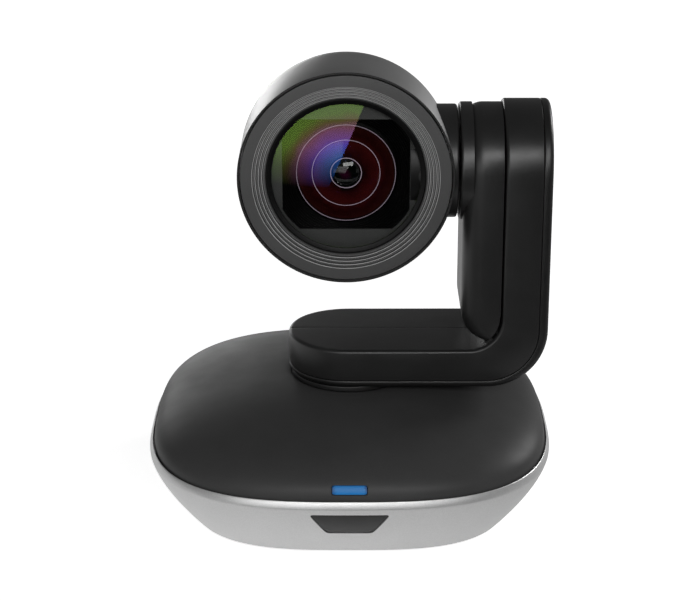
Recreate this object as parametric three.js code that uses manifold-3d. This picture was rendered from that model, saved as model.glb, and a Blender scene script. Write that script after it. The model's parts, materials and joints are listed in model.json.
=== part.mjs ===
// A motorised pan, tilt and zoom conference camera on a rounded-square base.
// Millimetres, +Z up. The origin is the middle of the footprint at the surface that the feet stand on.
// The pan axis is the Z axis, and the lens looks along -Y.

import * as THREE from "three";
import { mergeVertices } from "three/addons/utils/BufferGeometryUtils.js";
import Module from "manifold-3d";

const wasm = await Module();
wasm.setup();

// ---------------------------------------------------------------- driving dimensions

const WALL = 2; // plastic shells
const SEAT = 0.1; // gap between pieces that rest on each other
const FIT = 0.3; // gap around a piece that sits in an opening
const RUNNING = 0.3; // radial gap of a turning piece

// Base
const BASE_WIDTH = 130.6;
const BASE_DEPTH = 132.4;
const RIM_HEIGHT = 22; // widest line of the base above the table
const RIM_POWER = 2.9; // squareness of the plan at the rim: 2 is an ellipse
const LIP_HEIGHT = 2.2; // bevel from the widest line up to the dark cover
const LIP_INSET = 1;
const FLOOR_INSET = 13.3; // how far the underside is drawn in from the rim
const FLOOR_POWER = 3.1;
const SHELL_BULGE = 1.33; // 1 is a straight taper from rim to floor
const FOOT_HEIGHT = 1.5;
const FOOT_RADIUS = 6;
const DOME_RISE = 17.3; // top of the cover above its edge
const DOME_ROUNDNESS = 2.04;
const DOME_SHOULDER = 0.44; // below 0.5 the cover's shoulder is steeper than an ellipse

// Pan drive
const PAN_SHAFT_RADIUS = 9;
const PAN_SHAFT_BORE = 6.5;
const GEAR_MODULE = 0.8;
const PAN_GEAR_FACE = 4;
const PAN_GEAR_TEETH = 54;
const PINION_TEETH = 12;
const PAN_MOTOR_RADIUS = 12.5;
const FRAME_PLATE = 2;

// Arm
const ARM_DEPTH = 39.6; // front to back
const COLLAR_HEIGHT = 2;
const COLLAR_INSET = 0.8;
const LEG_COVER = 2.2; // outer skin under the leg
const SIDE_COVER = 2.9; // outer skin beside the upright
const LEG_THICKNESS = 10.4; // band between the skin and the leg's top
const UPRIGHT_THICKNESS = 12;
const INNER_FILLET = 10.5;
const OUTER_CORNER = 19;
const POD_DEPTH = 13.5; // pod between the tilt joint and the upright
const POD_SHOULDER = 1; // how far the round boss stands off the pod
const TILT_AXIS_ABOVE_LEG = 57.2;

// Head
const HEAD_OFFSET = -1.1; // lens axis beside the pan axis
const HEAD_RADIUS = 33.6;
const FACE_Y = -21.3; // front plane, from the tilt axis
const BARREL_STRAIGHT = 24.8; // straight part behind the front plane
const REAR_DOME = 31; // rounded back behind the straight part
const BARREL_SEAM = 10.5; // barrel to rear cap joint, behind the straight part
const HUB_INSET = 1.8; // hub radius under the arm's half depth
const HUB_STANDOFF = 1.4; // hub end beyond the barrel's side
const HUB_GAP = 0.6;
const TILT_SHAFT_RADIUS = 6;
const TILT_SHAFT_BORE = 3.5;
const FACE_BORDER = 9.1; // from the head's side in to the front element
const LENS_CLEARANCE = 0.4; // front element to the bezel's opening
const BEZEL_STEPS = 4;
const BEZEL_STEP = 1; // radial width of one step
const BEZEL_STEP_DEPTH = 0.5;
const BAFFLE_WIDTH_SHARE = 0.808; // of the front element's diameter
const BAFFLE_HEIGHT_SHARE = 0.722;
const FIXED_LENS_SHARE = 0.629; // each clear radius as a share of the front element's
const ZOOM_LENS_SHARE = 0.429;
const IRIS_SHARE = 0.196;
const GUIDE_ROD_SHARE = 0.6735; // guide rods and lead screw from the lens axis
const ZOOM_TRAVEL = 7; // each way
const FOCUS_TRAVEL = 1.5; // each way

// Facets round a full turn
const PLAN_FACETS = 48;
const LARGE_FACETS = 40;
const MEDIUM_FACETS = 24;
const SMALL_FACETS = 20;
const FINE_FACETS = 10;

// ---------------------------------------------------------------- derived places

const HALF_WIDTH = BASE_WIDTH / 2;
const HALF_DEPTH = BASE_DEPTH / 2;
const COVER_EDGE_Z = RIM_HEIGHT + LIP_HEIGHT;
const FLOOR_Z = FOOT_HEIGHT;
const FLOOR_TOP_Z = FLOOR_Z + WALL;
const DOME_TOP_Z = COVER_EDGE_Z + DOME_RISE;
const PAN_SEAT_Z = DOME_TOP_Z - 1.3; // flat recess in the cover, under the collar

const ARM_HALF_DEPTH = ARM_DEPTH / 2;
const COLLAR_RADIUS = ARM_HALF_DEPTH - COLLAR_INSET;
const ARM_BOTTOM_Z = PAN_SEAT_Z + FIT + COLLAR_HEIGHT;
const LEG_BOTTOM_Z = ARM_BOTTOM_Z + LEG_COVER + SEAT;
const LEG_TOP_Z = LEG_BOTTOM_Z + LEG_THICKNESS;
const AXIS_Z = LEG_TOP_Z + TILT_AXIS_ABOVE_LEG;

const HUB_RADIUS = ARM_HALF_DEPTH - HUB_INSET;
const HUB_END_X = HEAD_OFFSET + HEAD_RADIUS + HUB_STANDOFF;
const BOSS_X = HUB_END_X + HUB_GAP;
const POD_X = BOSS_X + POD_SHOULDER;
const UPRIGHT_X = BOSS_X + POD_DEPTH;
const UPRIGHT_OUTER_X = UPRIGHT_X + UPRIGHT_THICKNESS;
const ARM_OUTER_X = UPRIGHT_OUTER_X + SEAT + SIDE_COVER;

const PAN_GEAR_TOP_Z = PAN_SEAT_Z - 7.7;
const PAN_GEAR_BOTTOM_Z = PAN_GEAR_TOP_Z - PAN_GEAR_FACE;
const PLATE_TOP_Z = PAN_GEAR_BOTTOM_Z - 1.5;
const PLATE_BOTTOM_Z = PLATE_TOP_Z - FRAME_PLATE;
const BOARD_BOTTOM_Z = FLOOR_TOP_Z + 3;
const BOARD_TOP_Z = BOARD_BOTTOM_Z + 1.6;
const gearCentres = (teeth) => (GEAR_MODULE * (teeth + PINION_TEETH)) / 2;
const PAN_MOTOR_X = -gearCentres(PAN_GEAR_TEETH);

const CAVITY_HALF_DEPTH = ARM_HALF_DEPTH - WALL;
const TILT_GEAR_TEETH = 4 * Math.floor((2 * (CAVITY_HALF_DEPTH - 1.5) / GEAR_MODULE - 2) / 4);
const TILT_MOTOR_Z = AXIS_Z - gearCentres(TILT_GEAR_TEETH);
const BEARING_RADIUS = TILT_SHAFT_RADIUS + 3;
const MOTOR_TO_BEARING = 0.7;
const TILT_MOTOR_RADIUS = gearCentres(TILT_GEAR_TEETH) - BEARING_RADIUS - MOTOR_TO_BEARING;
const ARM_FRAME_SHEET = 1.5;

const LENS_RADIUS = HEAD_RADIUS - FACE_BORDER;
const BEZEL_OPENING = LENS_RADIUS + LENS_CLEARANCE;
const BAFFLE_WIDTH = 2 * LENS_RADIUS * BAFFLE_WIDTH_SHARE;
const BAFFLE_HEIGHT = 2 * LENS_RADIUS * BAFFLE_HEIGHT_SHARE;
const REAR_START_Y = FACE_Y + BARREL_STRAIGHT;
const SEAM_Y = REAR_START_Y + BARREL_SEAM;
const GLASS_Y = FACE_Y + 3.6; // front edge of the front element's rim
const TUBE_END_Y = REAR_START_Y + 13;
const ROD_OFFSET = LENS_RADIUS * GUIDE_ROD_SHARE;

// ---------------------------------------------------------------- solids from three.js geometry

/** A manifold solid from a closed three.js geometry. */
function solid(geometry) {
  const bare = new THREE.BufferGeometry();
  bare.setAttribute("position", geometry.getAttribute("position"));
  bare.setIndex(geometry.index);
  const merged = mergeVertices(bare, 1e-4);
  const corners = merged.index.array;
  const kept = [];
  for (let i = 0; i < corners.length; i += 3) {
    const [a, b, c] = corners.subarray(i, i + 3);
    if (a !== b && b !== c && c !== a) kept.push(a, b, c);
  }
  const make = (list) =>
    new wasm.Manifold(
      new wasm.Mesh({
        numProp: 3,
        vertProperties: merged.attributes.position.array,
        triVerts: new Uint32Array(list),
      }),
    );
  const made = make(kept);
  if (made.volume() > 0) return made;
  return make(kept.reverse());
}

/** The three.js geometry of a manifold solid. */
function geometryOf(made) {
  const mesh = made.getMesh();
  const geometry = new THREE.BufferGeometry();
  geometry.setAttribute("position", new THREE.BufferAttribute(mesh.vertProperties, 3));
  geometry.setIndex(new THREE.BufferAttribute(mesh.triVerts, 1));
  geometry.computeVertexNormals();
  return geometry;
}

const join = (first, ...rest) => rest.reduce((sum, next) => sum.add(next), first);
const cut = (first, ...rest) => rest.reduce((left, next) => left.subtract(next), first);
const common = (first, ...rest) => rest.reduce((left, next) => left.intersect(next), first);

function box(x0, x1, y0, y1, z0, z1) {
  const geometry = new THREE.BoxGeometry(x1 - x0, y1 - y0, z1 - z0);
  return solid(geometry.translate((x0 + x1) / 2, (y0 + y1) / 2, (z0 + z1) / 2));
}

/** A cylinder along "x", "y" or "z" from start to end; at gives its two other coordinates in axis order. */
function rod(axis, radius, start, end, at = [0, 0], facets = SMALL_FACETS) {
  const geometry = new THREE.CylinderGeometry(radius, radius, end - start, facets);
  const middle = (start + end) / 2;
  if (axis === "x") return solid(geometry.rotateZ(Math.PI / 2).translate(middle, at[0], at[1]));
  if (axis === "y") return solid(geometry.translate(at[0], middle, at[1]));
  return solid(geometry.rotateX(Math.PI / 2).translate(at[0], at[1], middle));
}

/** A tube, as a rod with a bore right through it. */
function tube(axis, radius, bore, start, end, at = [0, 0], facets = SMALL_FACETS) {
  return cut(
    rod(axis, radius, start, end, at, facets),
    rod(axis, bore, start - 1, end + 1, at, facets),
  );
}

/** A profile of [radius, position] points turned about the vertical line through x, y. */
function turnedZ(profile, x = 0, y = 0, facets = LARGE_FACETS) {
  const points = profile.map(([r, z]) => new THREE.Vector2(r, z));
  return solid(new THREE.LatheGeometry(points, facets).rotateX(Math.PI / 2).translate(x, y, 0));
}

/** A profile of [radius, y] points turned about the lens axis. */
function turnedLens(profile, facets = LARGE_FACETS) {
  const points = profile.map(([r, y]) => new THREE.Vector2(r, y));
  return solid(new THREE.LatheGeometry(points, facets).translate(HEAD_OFFSET, 0, AXIS_Z));
}

/** A shape drawn in front view (x, z) and extruded from y0 back to y1. */
function frontPrism(shape, y0, y1, curveSegments = 8) {
  const geometry = new THREE.ExtrudeGeometry(shape, {
    depth: y1 - y0,
    bevelEnabled: false,
    curveSegments,
  });
  return solid(geometry.rotateX(Math.PI / 2).translate(0, y1, 0));
}

/** A shape drawn in plan (x, y) and extruded from z0 up to z1. */
function planPrism(shape, z0, z1, curveSegments = 8) {
  const geometry = new THREE.ExtrudeGeometry(shape, {
    depth: z1 - z0,
    bevelEnabled: false,
    curveSegments,
  });
  return solid(geometry.translate(0, 0, z0));
}

/** A shape drawn in side view (y, z) and extruded from x0 to x1. */
function sidePrism(shape, x0, x1, curveSegments = 8) {
  const geometry = new THREE.ExtrudeGeometry(shape, {
    depth: x1 - x0,
    bevelEnabled: false,
    curveSegments,
  });
  const turn = new THREE.Matrix4().makeBasis(
    new THREE.Vector3(0, 1, 0),
    new THREE.Vector3(0, 0, 1),
    new THREE.Vector3(1, 0, 0),
  );
  return solid(geometry.applyMatrix4(turn).translate(x0, 0, 0));
}

/** A closed outline with each corner rounded: points are [x, y, radius]. */
function roundedShape(points) {
  const shape = new THREE.Shape();
  points.forEach(([x, y, radius = 0], i) => {
    const corner = new THREE.Vector2(x, y);
    const before = new THREE.Vector2(...points[(i + points.length - 1) % points.length]);
    const after = new THREE.Vector2(...points[(i + 1) % points.length]);
    const back = before.clone().sub(corner).normalize();
    const ahead = after.clone().sub(corner).normalize();
    const reach = radius / Math.tan(Math.acos(back.dot(ahead)) / 2);
    const start = corner.clone().addScaledVector(back, reach);
    const end = corner.clone().addScaledVector(ahead, reach);
    if (i === 0) shape.moveTo(start.x, start.y);
    else shape.lineTo(start.x, start.y);
    if (radius > 0) shape.quadraticCurveTo(x, y, end.x, end.y);
  });
  shape.closePath();
  return shape;
}

const rectangle = (x0, x1, y0, y1, radius = 0) =>
  roundedShape([
    [x0, y0, radius],
    [x1, y0, radius],
    [x1, y1, radius],
    [x0, y1, radius],
  ]);

// ---------------------------------------------------------------- rounded-square plan

/** Distance from the middle to a rounded-square outline at an angle. */
function outlineRadius(angle, { halfWidth, halfDepth, power }) {
  const across = Math.abs(Math.cos(angle)) / halfWidth;
  const along = Math.abs(Math.sin(angle)) / halfDepth;
  return (across ** power + along ** power) ** (-1 / power);
}

/**
 * A solid through a list of rounded-square rings { halfWidth, halfDepth, power, z }.
 * The first and last have a halfWidth of 0, which closes it on the axis.
 */
function planSolid(rings, facets = PLAN_FACETS) {
  const unit = rings.map(({ z }) => new THREE.Vector2(1, z));
  const geometry = new THREE.LatheGeometry(unit, facets).rotateX(Math.PI / 2);
  const position = geometry.getAttribute("position");
  for (let i = 0; i < position.count; i++) {
    const ring = rings[i % rings.length];
    const angle = Math.atan2(position.getY(i), position.getX(i));
    const radius = ring.halfWidth > 0 ? outlineRadius(angle, ring) : 0;
    position.setXY(i, radius * Math.cos(angle), radius * Math.sin(angle));
  }
  return solid(geometry);
}

const mix = (from, to, share) => from + (to - from) * share;
const steps = (count) => Array.from({ length: count + 1 }, (_, i) => i / count);
const inset = (ring, by) => ({
  ...ring,
  halfWidth: ring.halfWidth - by,
  halfDepth: ring.halfDepth - by,
});

/** The lower shell's outer outline at a share of the way down from rim to floor. */
function shellRing(share) {
  const taper = share ** SHELL_BULGE;
  return {
    halfWidth: HALF_WIDTH - FLOOR_INSET * taper,
    halfDepth: HALF_DEPTH - FLOOR_INSET * taper,
    power: mix(RIM_POWER, FLOOR_POWER, taper),
    z: mix(RIM_HEIGHT, FLOOR_Z, share),
  };
}

/** The cover's edge outline, with a gap to the lip around it. */
const coverEdge = {
  halfWidth: HALF_WIDTH - LIP_INSET - FIT,
  halfDepth: HALF_DEPTH - LIP_INSET - FIT,
  power: RIM_POWER,
};

/** The cover's outer surface at a share of the way out from the middle to the edge. */
function domeRing(share) {
  return {
    halfWidth: coverEdge.halfWidth * share,
    halfDepth: coverEdge.halfDepth * share,
    power: mix(2, RIM_POWER, Math.sqrt(share)),
    z: COVER_EDGE_Z + DOME_RISE * (1 - share ** DOME_ROUNDNESS) ** DOME_SHOULDER,
  };
}

/** The share of the way out to the cover's edge at which its surface stands at a height. */
const coverShareAt = (z) =>
  (1 - ((z - COVER_EDGE_Z) / DOME_RISE) ** (1 / DOME_SHOULDER)) ** (1 / DOME_ROUNDNESS);

// ---------------------------------------------------------------- gears

/** A spur gear's plan with straight-flanked teeth, one tooth centred on the first axis unless turned. */
function gearShape(teeth, turn = 0) {
  const pitchRadius = (GEAR_MODULE * teeth) / 2;
  const tip = pitchRadius + 0.75 * GEAR_MODULE;
  const root = pitchRadius - 1.05 * GEAR_MODULE;
  const pitch = (2 * Math.PI) / teeth;
  const shape = new THREE.Shape();
  for (let i = 0; i < teeth; i++) {
    const middle = turn + i * pitch;
    const corners = [
      [root, -0.32],
      [tip, -0.13],
      [tip, 0.13],
      [root, 0.32],
    ];
    corners.forEach(([radius, share], k) => {
      const angle = middle + share * pitch;
      const [x, y] = [radius * Math.cos(angle), radius * Math.sin(angle)];
      if (i === 0 && k === 0) shape.moveTo(x, y);
      else shape.lineTo(x, y);
    });
  }
  shape.closePath();
  return shape;
}

const halfPitch = Math.PI / PINION_TEETH;

// ---------------------------------------------------------------- materials

const finish = (color, roughness, metalness = 0) =>
  new THREE.MeshStandardMaterial({ color, roughness, metalness });

const FINISHES = {
  charcoalPlastic: finish(0x2b2b2d, 0.5),
  blackPlastic: finish(0x141415, 0.45),
  faceplatePlastic: finish(0x414144, 0.55),
  silverPaint: finish(0xb9babb, 0.42, 0.3),
  barrelPaint: finish(0x8a8b8e, 0.36, 0.7),
  infraredWindow: finish(0x0b0b0c, 0.12),
  blueLightPipe: finish(0x1b86d0, 0.3),
  rubber: finish(0x1c1c1c, 0.9),
  steel: finish(0x9a9da0, 0.35, 0.95),
  brass: finish(0xb8934a, 0.35, 0.95),
  gearResin: finish(0xe6e3d8, 0.5),
  circuitBoard: finish(0x1d5a37, 0.55),
  flexCircuit: finish(0xa8652a, 0.45),
  glass: finish(0x27303a, 0.05),
};

/** Adds one piece to a group as a named mesh with its own material. */
function piece(group, name, made, material) {
  const mesh = new THREE.Mesh(geometryOf(made), FINISHES[material].clone());
  mesh.name = name;
  group.add(mesh);
}

// ---------------------------------------------------------------- base

const SKIRT = 2; // the cover's skirt inside the lip
const FLOOR_HALF_WIDTH = HALF_WIDTH - FLOOR_INSET;
const FLOOR_HALF_DEPTH = HALF_DEPTH - FLOOR_INSET;
const SCREW_X = FLOOR_HALF_WIDTH - 14.5; // screws, feet and posts keep their distance from the floor's outline
const SCREW_Y = FLOOR_HALF_DEPTH - 19.9;
const FOOT_X = FLOOR_HALF_WIDTH - 22;
const FOOT_Y = FLOOR_HALF_DEPTH - 12.9;
const FRAME_POST_X = FLOOR_HALF_WIDTH - 12;
const FRAME_POST_Y = FLOOR_HALF_DEPTH - 28.9;
const POST_RADIUS = 3.5;
const SCREW_RADIUS = 1.2;
const SCREW_HEAD_RADIUS = 3;
const SCREW_HEAD = 1.2;
const BOARD_HALF_WIDTH = FLOOR_HALF_WIDTH - 19;
const INSERT_RADIUS = 7;
const INSERT_HEIGHT = 9;
const TRIPOD_BORE_RADIUS = 3.2; // for a standard 1/4 inch tripod screw
const TRIPOD_BORE_DEPTH = 7;
const WINDOW_TOP_Z = 19.7;
const WINDOW_HEIGHT = 8;
const WINDOW_TOP_WIDTH = 25;
const WINDOW_FOOT_WIDTH = 13.5;
const WINDOW_THICKNESS = 1.4;
const LIGHT_Z = 27.4;
const LIGHT_WIDTH = 10.6;
const LIGHT_HEIGHT = 2.3;
const LIGHT_THICKNESS = 2.5;
const LAMP_GAP = 0.2; // between the light pipe and its lamp
const PORT_HALF_WIDTH = 35;
const PORT_BOTTOM_Z = 6.2;
const PORT_TOP_Z = 19.6;
const PORT_FACE_Y = HALF_DEPTH - 13;

const corners = (x, y) => [[x, y], [-x, y], [-x, -y], [x, -y]];
const SHELL_SHARES = steps(4).reverse();

/** The filled outer volume of the lower shell, drawn in by a distance all round. */
function shellVolume(by = 0) {
  const wall = SHELL_SHARES.map((share) => inset(shellRing(share), by));
  const lip = { ...shellRing(0), z: COVER_EDGE_Z };
  const rings = [...wall, inset(lip, LIP_INSET + by)];
  const floor = { ...rings[0], halfWidth: 0 };
  const top = { ...rings.at(-1), halfWidth: 0 };
  return planSolid([floor, ...rings, top]);
}

function lowerShell() {
  const inner = SHELL_SHARES.map((share) => inset(shellRing(share), WALL));
  inner[0].z -= 1;
  const ledge = inset(shellRing(0), LIP_INSET);
  const ledgeZ = COVER_EDGE_Z - SKIRT - FIT;
  const hollow = planSolid([
    { ...inner[0], halfWidth: 0 },
    ...inner.slice(0, -1),
    { ...inner.at(-1), z: ledgeZ },
    { ...ledge, z: ledgeZ },
    { ...ledge, z: COVER_EDGE_Z + 1 },
    { ...ledge, halfWidth: 0, z: COVER_EDGE_Z + 1 },
  ]);
  return cut(shellVolume(), hollow, windowPrism(FIT), portBox(FIT));
}

/** The dark cover's filled volume: z0 is the foot of its skirt. */
function coverVolume(by, z0) {
  const shares = steps(6).map((t) => Math.cos((t * Math.PI) / 2));
  const dome = shares.map((share) => {
    const ring = domeRing(share);
    return { ...inset(ring, Math.min(by, ring.halfWidth)), z: ring.z - by };
  });
  dome[dome.length - 1].halfWidth = 0;
  const foot = { ...dome[0], z: z0 };
  return planSolid([{ ...foot, halfWidth: 0 }, foot, ...dome]);
}

function topCover() {
  const skirtZ = COVER_EDGE_Z - SKIRT;
  const recess = rod("z", COLLAR_RADIUS + RUNNING, PAN_SEAT_Z, DOME_TOP_Z + 1, [0, 0], LARGE_FACETS);
  const hollow = join(
    coverVolume(WALL, skirtZ - 1),
    rod("z", PAN_SHAFT_RADIUS + RUNNING, COVER_EDGE_Z, DOME_TOP_Z + 1),
  );
  const shell = cut(coverVolume(0, skirtZ), recess, hollow);
  const underDome = coverVolume(WALL / 2, 0);
  const posts = corners(SCREW_X, SCREW_Y).map((at) =>
    cut(
      common(rod("z", POST_RADIUS, FLOOR_TOP_Z + SEAT, DOME_TOP_Z, at), underDome),
      rod("z", SCREW_RADIUS + FIT / 2, FLOOR_TOP_Z, COVER_EDGE_Z - 3, at),
    ),
  );
  return cut(join(shell, ...posts), lightPrism(FIT / 2));
}

const windowOutline = (by) =>
  roundedShape([
    [-WINDOW_TOP_WIDTH / 2 - by, WINDOW_TOP_Z + by, 0.6],
    [-WINDOW_FOOT_WIDTH / 2 - by, WINDOW_TOP_Z - WINDOW_HEIGHT - by, 2],
    [WINDOW_FOOT_WIDTH / 2 + by, WINDOW_TOP_Z - WINDOW_HEIGHT - by, 2],
    [WINDOW_TOP_WIDTH / 2 + by, WINDOW_TOP_Z + by, 0.6],
  ]);
const windowPrism = (by) => frontPrism(windowOutline(by), -HALF_DEPTH - 1, -HALF_DEPTH + 9, 4);
const infraredWindow = () => cut(common(shellVolume(), windowPrism(0)), shellVolume(WINDOW_THICKNESS));

function lightPrism(by) {
  const halfWidth = LIGHT_WIDTH / 2 + by;
  const halfHeight = LIGHT_HEIGHT / 2 + by;
  const outline = rectangle(-halfWidth, halfWidth, LIGHT_Z - halfHeight, LIGHT_Z + halfHeight, 0.7);
  return frontPrism(outline, -HALF_DEPTH - 1, -HALF_DEPTH + 8, 3);
}

function lightPipe() {
  const skirtZ = COVER_EDGE_Z - SKIRT;
  const plug = common(lightPrism(0), coverVolume(0, skirtZ));
  return cut(plug, coverVolume(LIGHT_THICKNESS, skirtZ));
}

/** A small upright board behind the light pipe, with one lamp on it. */
function ledBoard() {
  const pipeBackShare = coverShareAt(LIGHT_Z + LIGHT_HEIGHT / 2 + LIGHT_THICKNESS);
  const pipeBackY = LIGHT_THICKNESS - coverEdge.halfDepth * pipeBackShare;
  const faceY = pipeBackY + LAMP_GAP + 1;
  const board = box(-8, 8, faceY, faceY + 1, LIGHT_Z - 5, LIGHT_Z + 2);
  return join(board, box(-1.5, 1.5, faceY - 1, faceY + 0.5, LIGHT_Z - 0.8, LIGHT_Z + 0.8));
}

const portBox = (by) =>
  box(
    -PORT_HALF_WIDTH - by,
    PORT_HALF_WIDTH + by,
    PORT_FACE_Y - WALL - by,
    HALF_DEPTH + 1,
    PORT_BOTTOM_Z - by,
    PORT_TOP_Z + by,
  );

const PORT_MIDDLE_Z = (PORT_BOTTOM_Z + PORT_TOP_Z) / 2;
const PORT_WALL = 1.5;
const JACK_X = -26;
const DATA_X = -11;
const VIDEO_X = 6;
const NETWORK_X = 25;
const JACK_RADIUS = 4;
const DATA_PORT = { width: 9.4, height: 8.4 };
const VIDEO_PORT = { width: 15.4, height: 6 };
const NETWORK_PORT = { width: 13.2, height: 9 };
const SOCKET_DEPTH = 9;
const SOCKET_SKIN = 0.7;

/** A port's block: x is its middle; by widens it for its opening. */
function portBlock(x, { width, height }, by, y0, y1) {
  const across = width / 2 + by;
  const up = height / 2 + by;
  return box(x - across, x + across, y0, y1, PORT_MIDDLE_Z - up, PORT_MIDDLE_Z + up);
}

function portPanel() {
  const tray = cut(
    common(portBox(0), shellVolume(SEAT)),
    box(
      -PORT_HALF_WIDTH + PORT_WALL,
      PORT_HALF_WIDTH - PORT_WALL,
      PORT_FACE_Y,
      HALF_DEPTH + 1,
      PORT_BOTTOM_Z + PORT_WALL,
      PORT_TOP_Z - PORT_WALL,
    ),
  );
  const [back, front] = [PORT_FACE_Y - WALL - 1, PORT_FACE_Y + 1];
  return cut(
    tray,
    rod("y", JACK_RADIUS + SEAT, back, front, [JACK_X, PORT_MIDDLE_Z]),
    portBlock(DATA_X, DATA_PORT, SEAT, back, front),
    portBlock(VIDEO_X, VIDEO_PORT, SEAT, back, front),
    portBlock(NETWORK_X, NETWORK_PORT, SEAT, back, front),
  );
}

/** A rectangular socket with a contact tongue across its mouth. */
function socket(x, size, tongueHeight) {
  const mouthY = PORT_FACE_Y + 0.4;
  const backY = PORT_FACE_Y - SOCKET_DEPTH;
  const block = portBlock(x, size, 0, backY, mouthY);
  const mouth = portBlock(x, size, -SOCKET_SKIN, backY + 1.5, mouthY + 1);
  const half = size.width / 2 - 2 * SOCKET_SKIN;
  const low = PORT_MIDDLE_Z - tongueHeight / 2;
  const tongue = box(x - half, x + half, backY + 1, mouthY - 0.8, low, low + tongueHeight);
  return join(cut(block, mouth), tongue);
}

function powerJack() {
  const at = [JACK_X, PORT_MIDDLE_Z];
  const barrel = cut(
    rod("y", JACK_RADIUS, PORT_FACE_Y - SOCKET_DEPTH, PORT_FACE_Y + 0.6, at),
    rod("y", JACK_RADIUS - 1, PORT_FACE_Y - SOCKET_DEPTH + 1.5, PORT_FACE_Y + 1, at),
  );
  return join(barrel, rod("y", 0.9, PORT_FACE_Y - SOCKET_DEPTH + 1, PORT_FACE_Y - 0.6, at, FINE_FACETS));
}

function bottomPlate() {
  const outline = inset(shellRing(1), WALL + FIT);
  const plate = planSolid([
    { ...outline, halfWidth: 0, z: FLOOR_Z },
    { ...outline, z: FLOOR_Z },
    { ...outline, z: FLOOR_TOP_Z },
    { ...outline, halfWidth: 0, z: FLOOR_TOP_Z },
  ]);
  const screwHoles = corners(SCREW_X, SCREW_Y).flatMap((at) => [
    rod("z", SCREW_RADIUS + FIT / 2, 0, FLOOR_TOP_Z + 1, at),
    rod("z", SCREW_HEAD_RADIUS + FIT / 2, 0, FLOOR_Z + SCREW_HEAD, at),
  ]);
  const insertHole = rod("z", INSERT_RADIUS + SEAT, 0, FLOOR_TOP_Z + 1);
  return cut(plate, insertHole, ...screwHoles);
}

function baseScrew(at) {
  const headTop = FLOOR_Z + SCREW_HEAD - SEAT;
  return cut(
    join(
      rod("z", SCREW_HEAD_RADIUS, FLOOR_Z, headTop, at),
      rod("z", SCREW_RADIUS, headTop - 0.5, FLOOR_TOP_Z + 7, at, FINE_FACETS),
    ),
    rod("z", 1, FLOOR_Z - 1, FLOOR_Z + 0.7, at, 6),
  );
}

function tripodInsert() {
  return turnedZ([
    [TRIPOD_BORE_RADIUS, FLOOR_Z],
    [INSERT_RADIUS, FLOOR_Z],
    [INSERT_RADIUS, FLOOR_Z + INSERT_HEIGHT],
    [0, FLOOR_Z + INSERT_HEIGHT],
    [0, FLOOR_Z + TRIPOD_BORE_DEPTH],
    [TRIPOD_BORE_RADIUS, FLOOR_Z + TRIPOD_BORE_DEPTH],
    [TRIPOD_BORE_RADIUS, FLOOR_Z],
  ]);
}

function mainBoard() {
  const frontY = -FRAME_POST_Y - 12;
  const backY = PORT_FACE_Y - SOCKET_DEPTH - 2;
  const outline = rectangle(-BOARD_HALF_WIDTH, BOARD_HALF_WIDTH, frontY, backY, 3);
  const board = planPrism(outline, BOARD_BOTTOM_Z, BOARD_TOP_Z, 3);
  const standoffs = corners(BOARD_HALF_WIDTH - 5, FRAME_POST_Y).map((at) =>
    rod("z", 2.5, FLOOR_TOP_Z + SEAT, BOARD_BOTTOM_Z + 0.5, at, FINE_FACETS),
  );
  const chips = [
    box(-20, -8, backY - 28, backY - 16, BOARD_TOP_Z - 0.1, BOARD_TOP_Z + 1.2), // processor
    box(2, 12, backY - 24, backY - 16, BOARD_TOP_Z - 0.1, BOARD_TOP_Z + 1.2), // memory
    box(-12, 12, frontY + 2, frontY + 7, BOARD_TOP_Z - 0.1, BOARD_TOP_Z + 2.8), // connector
  ];
  const hole = rod("z", INSERT_RADIUS + 1, BOARD_BOTTOM_Z - 1, BOARD_TOP_Z + 1);
  return cut(join(board, ...standoffs, ...chips), hole);
}

function heatSpreader() {
  const foot = BOARD_TOP_Z + SEAT;
  const [left, right, front, back] = [10, BOARD_HALF_WIDTH - 1, -FRAME_POST_Y, -2];
  const plate = box(left, right, front, back, foot, foot + 1.5);
  const fins = steps(5).map((t) => {
    const x = mix(left, right - 1, t);
    return box(x, x + 1, front, back, foot + 1, foot + 5);
  });
  return join(plate, ...fins);
}

// ---------------------------------------------------------------- pan drive

function panFrame() {
  const plate = planPrism(
    rectangle(-FRAME_POST_X - 4, FRAME_POST_X + 4, -FRAME_POST_Y - 4, FRAME_POST_Y + 4, 6),
    PLATE_BOTTOM_Z,
    PLATE_TOP_Z,
    4,
  );
  const posts = corners(FRAME_POST_X, FRAME_POST_Y).map((at) =>
    rod("z", POST_RADIUS, FLOOR_TOP_Z + SEAT, PLATE_BOTTOM_Z + 1, at, FINE_FACETS),
  );
  return cut(
    join(plate, ...posts),
    rod("z", PAN_SHAFT_RADIUS + 3, PLATE_BOTTOM_Z - 1, PLATE_TOP_Z + 1),
    rod("z", 4, PLATE_BOTTOM_Z - 1, PLATE_TOP_Z + 1, [PAN_MOTOR_X, 0]),
  );
}

function panBearing() {
  const bore = PAN_SHAFT_RADIUS + RUNNING;
  const flange = PAN_SHAFT_RADIUS + 4.5;
  return join(
    tube("z", PAN_SHAFT_RADIUS + 3 - SEAT, bore, PLATE_BOTTOM_Z, PLATE_TOP_Z + 0.5),
    tube("z", flange, bore, PLATE_TOP_Z + SEAT, PLATE_TOP_Z + 1),
  );
}

function panMotor() {
  const at = [PAN_MOTOR_X, 0];
  const body = rod("z", PAN_MOTOR_RADIUS, PLATE_BOTTOM_Z - 10, PLATE_BOTTOM_Z - SEAT, at, MEDIUM_FACETS);
  const tail = box(PAN_MOTOR_X - 15.5, PAN_MOTOR_X - 8, -7, 7, PLATE_BOTTOM_Z - 9, PLATE_BOTTOM_Z - 3);
  return cut(join(body, tail), rod("z", 1.8, PLATE_BOTTOM_Z - 6, PLATE_BOTTOM_Z + 1, at, FINE_FACETS));
}

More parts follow.
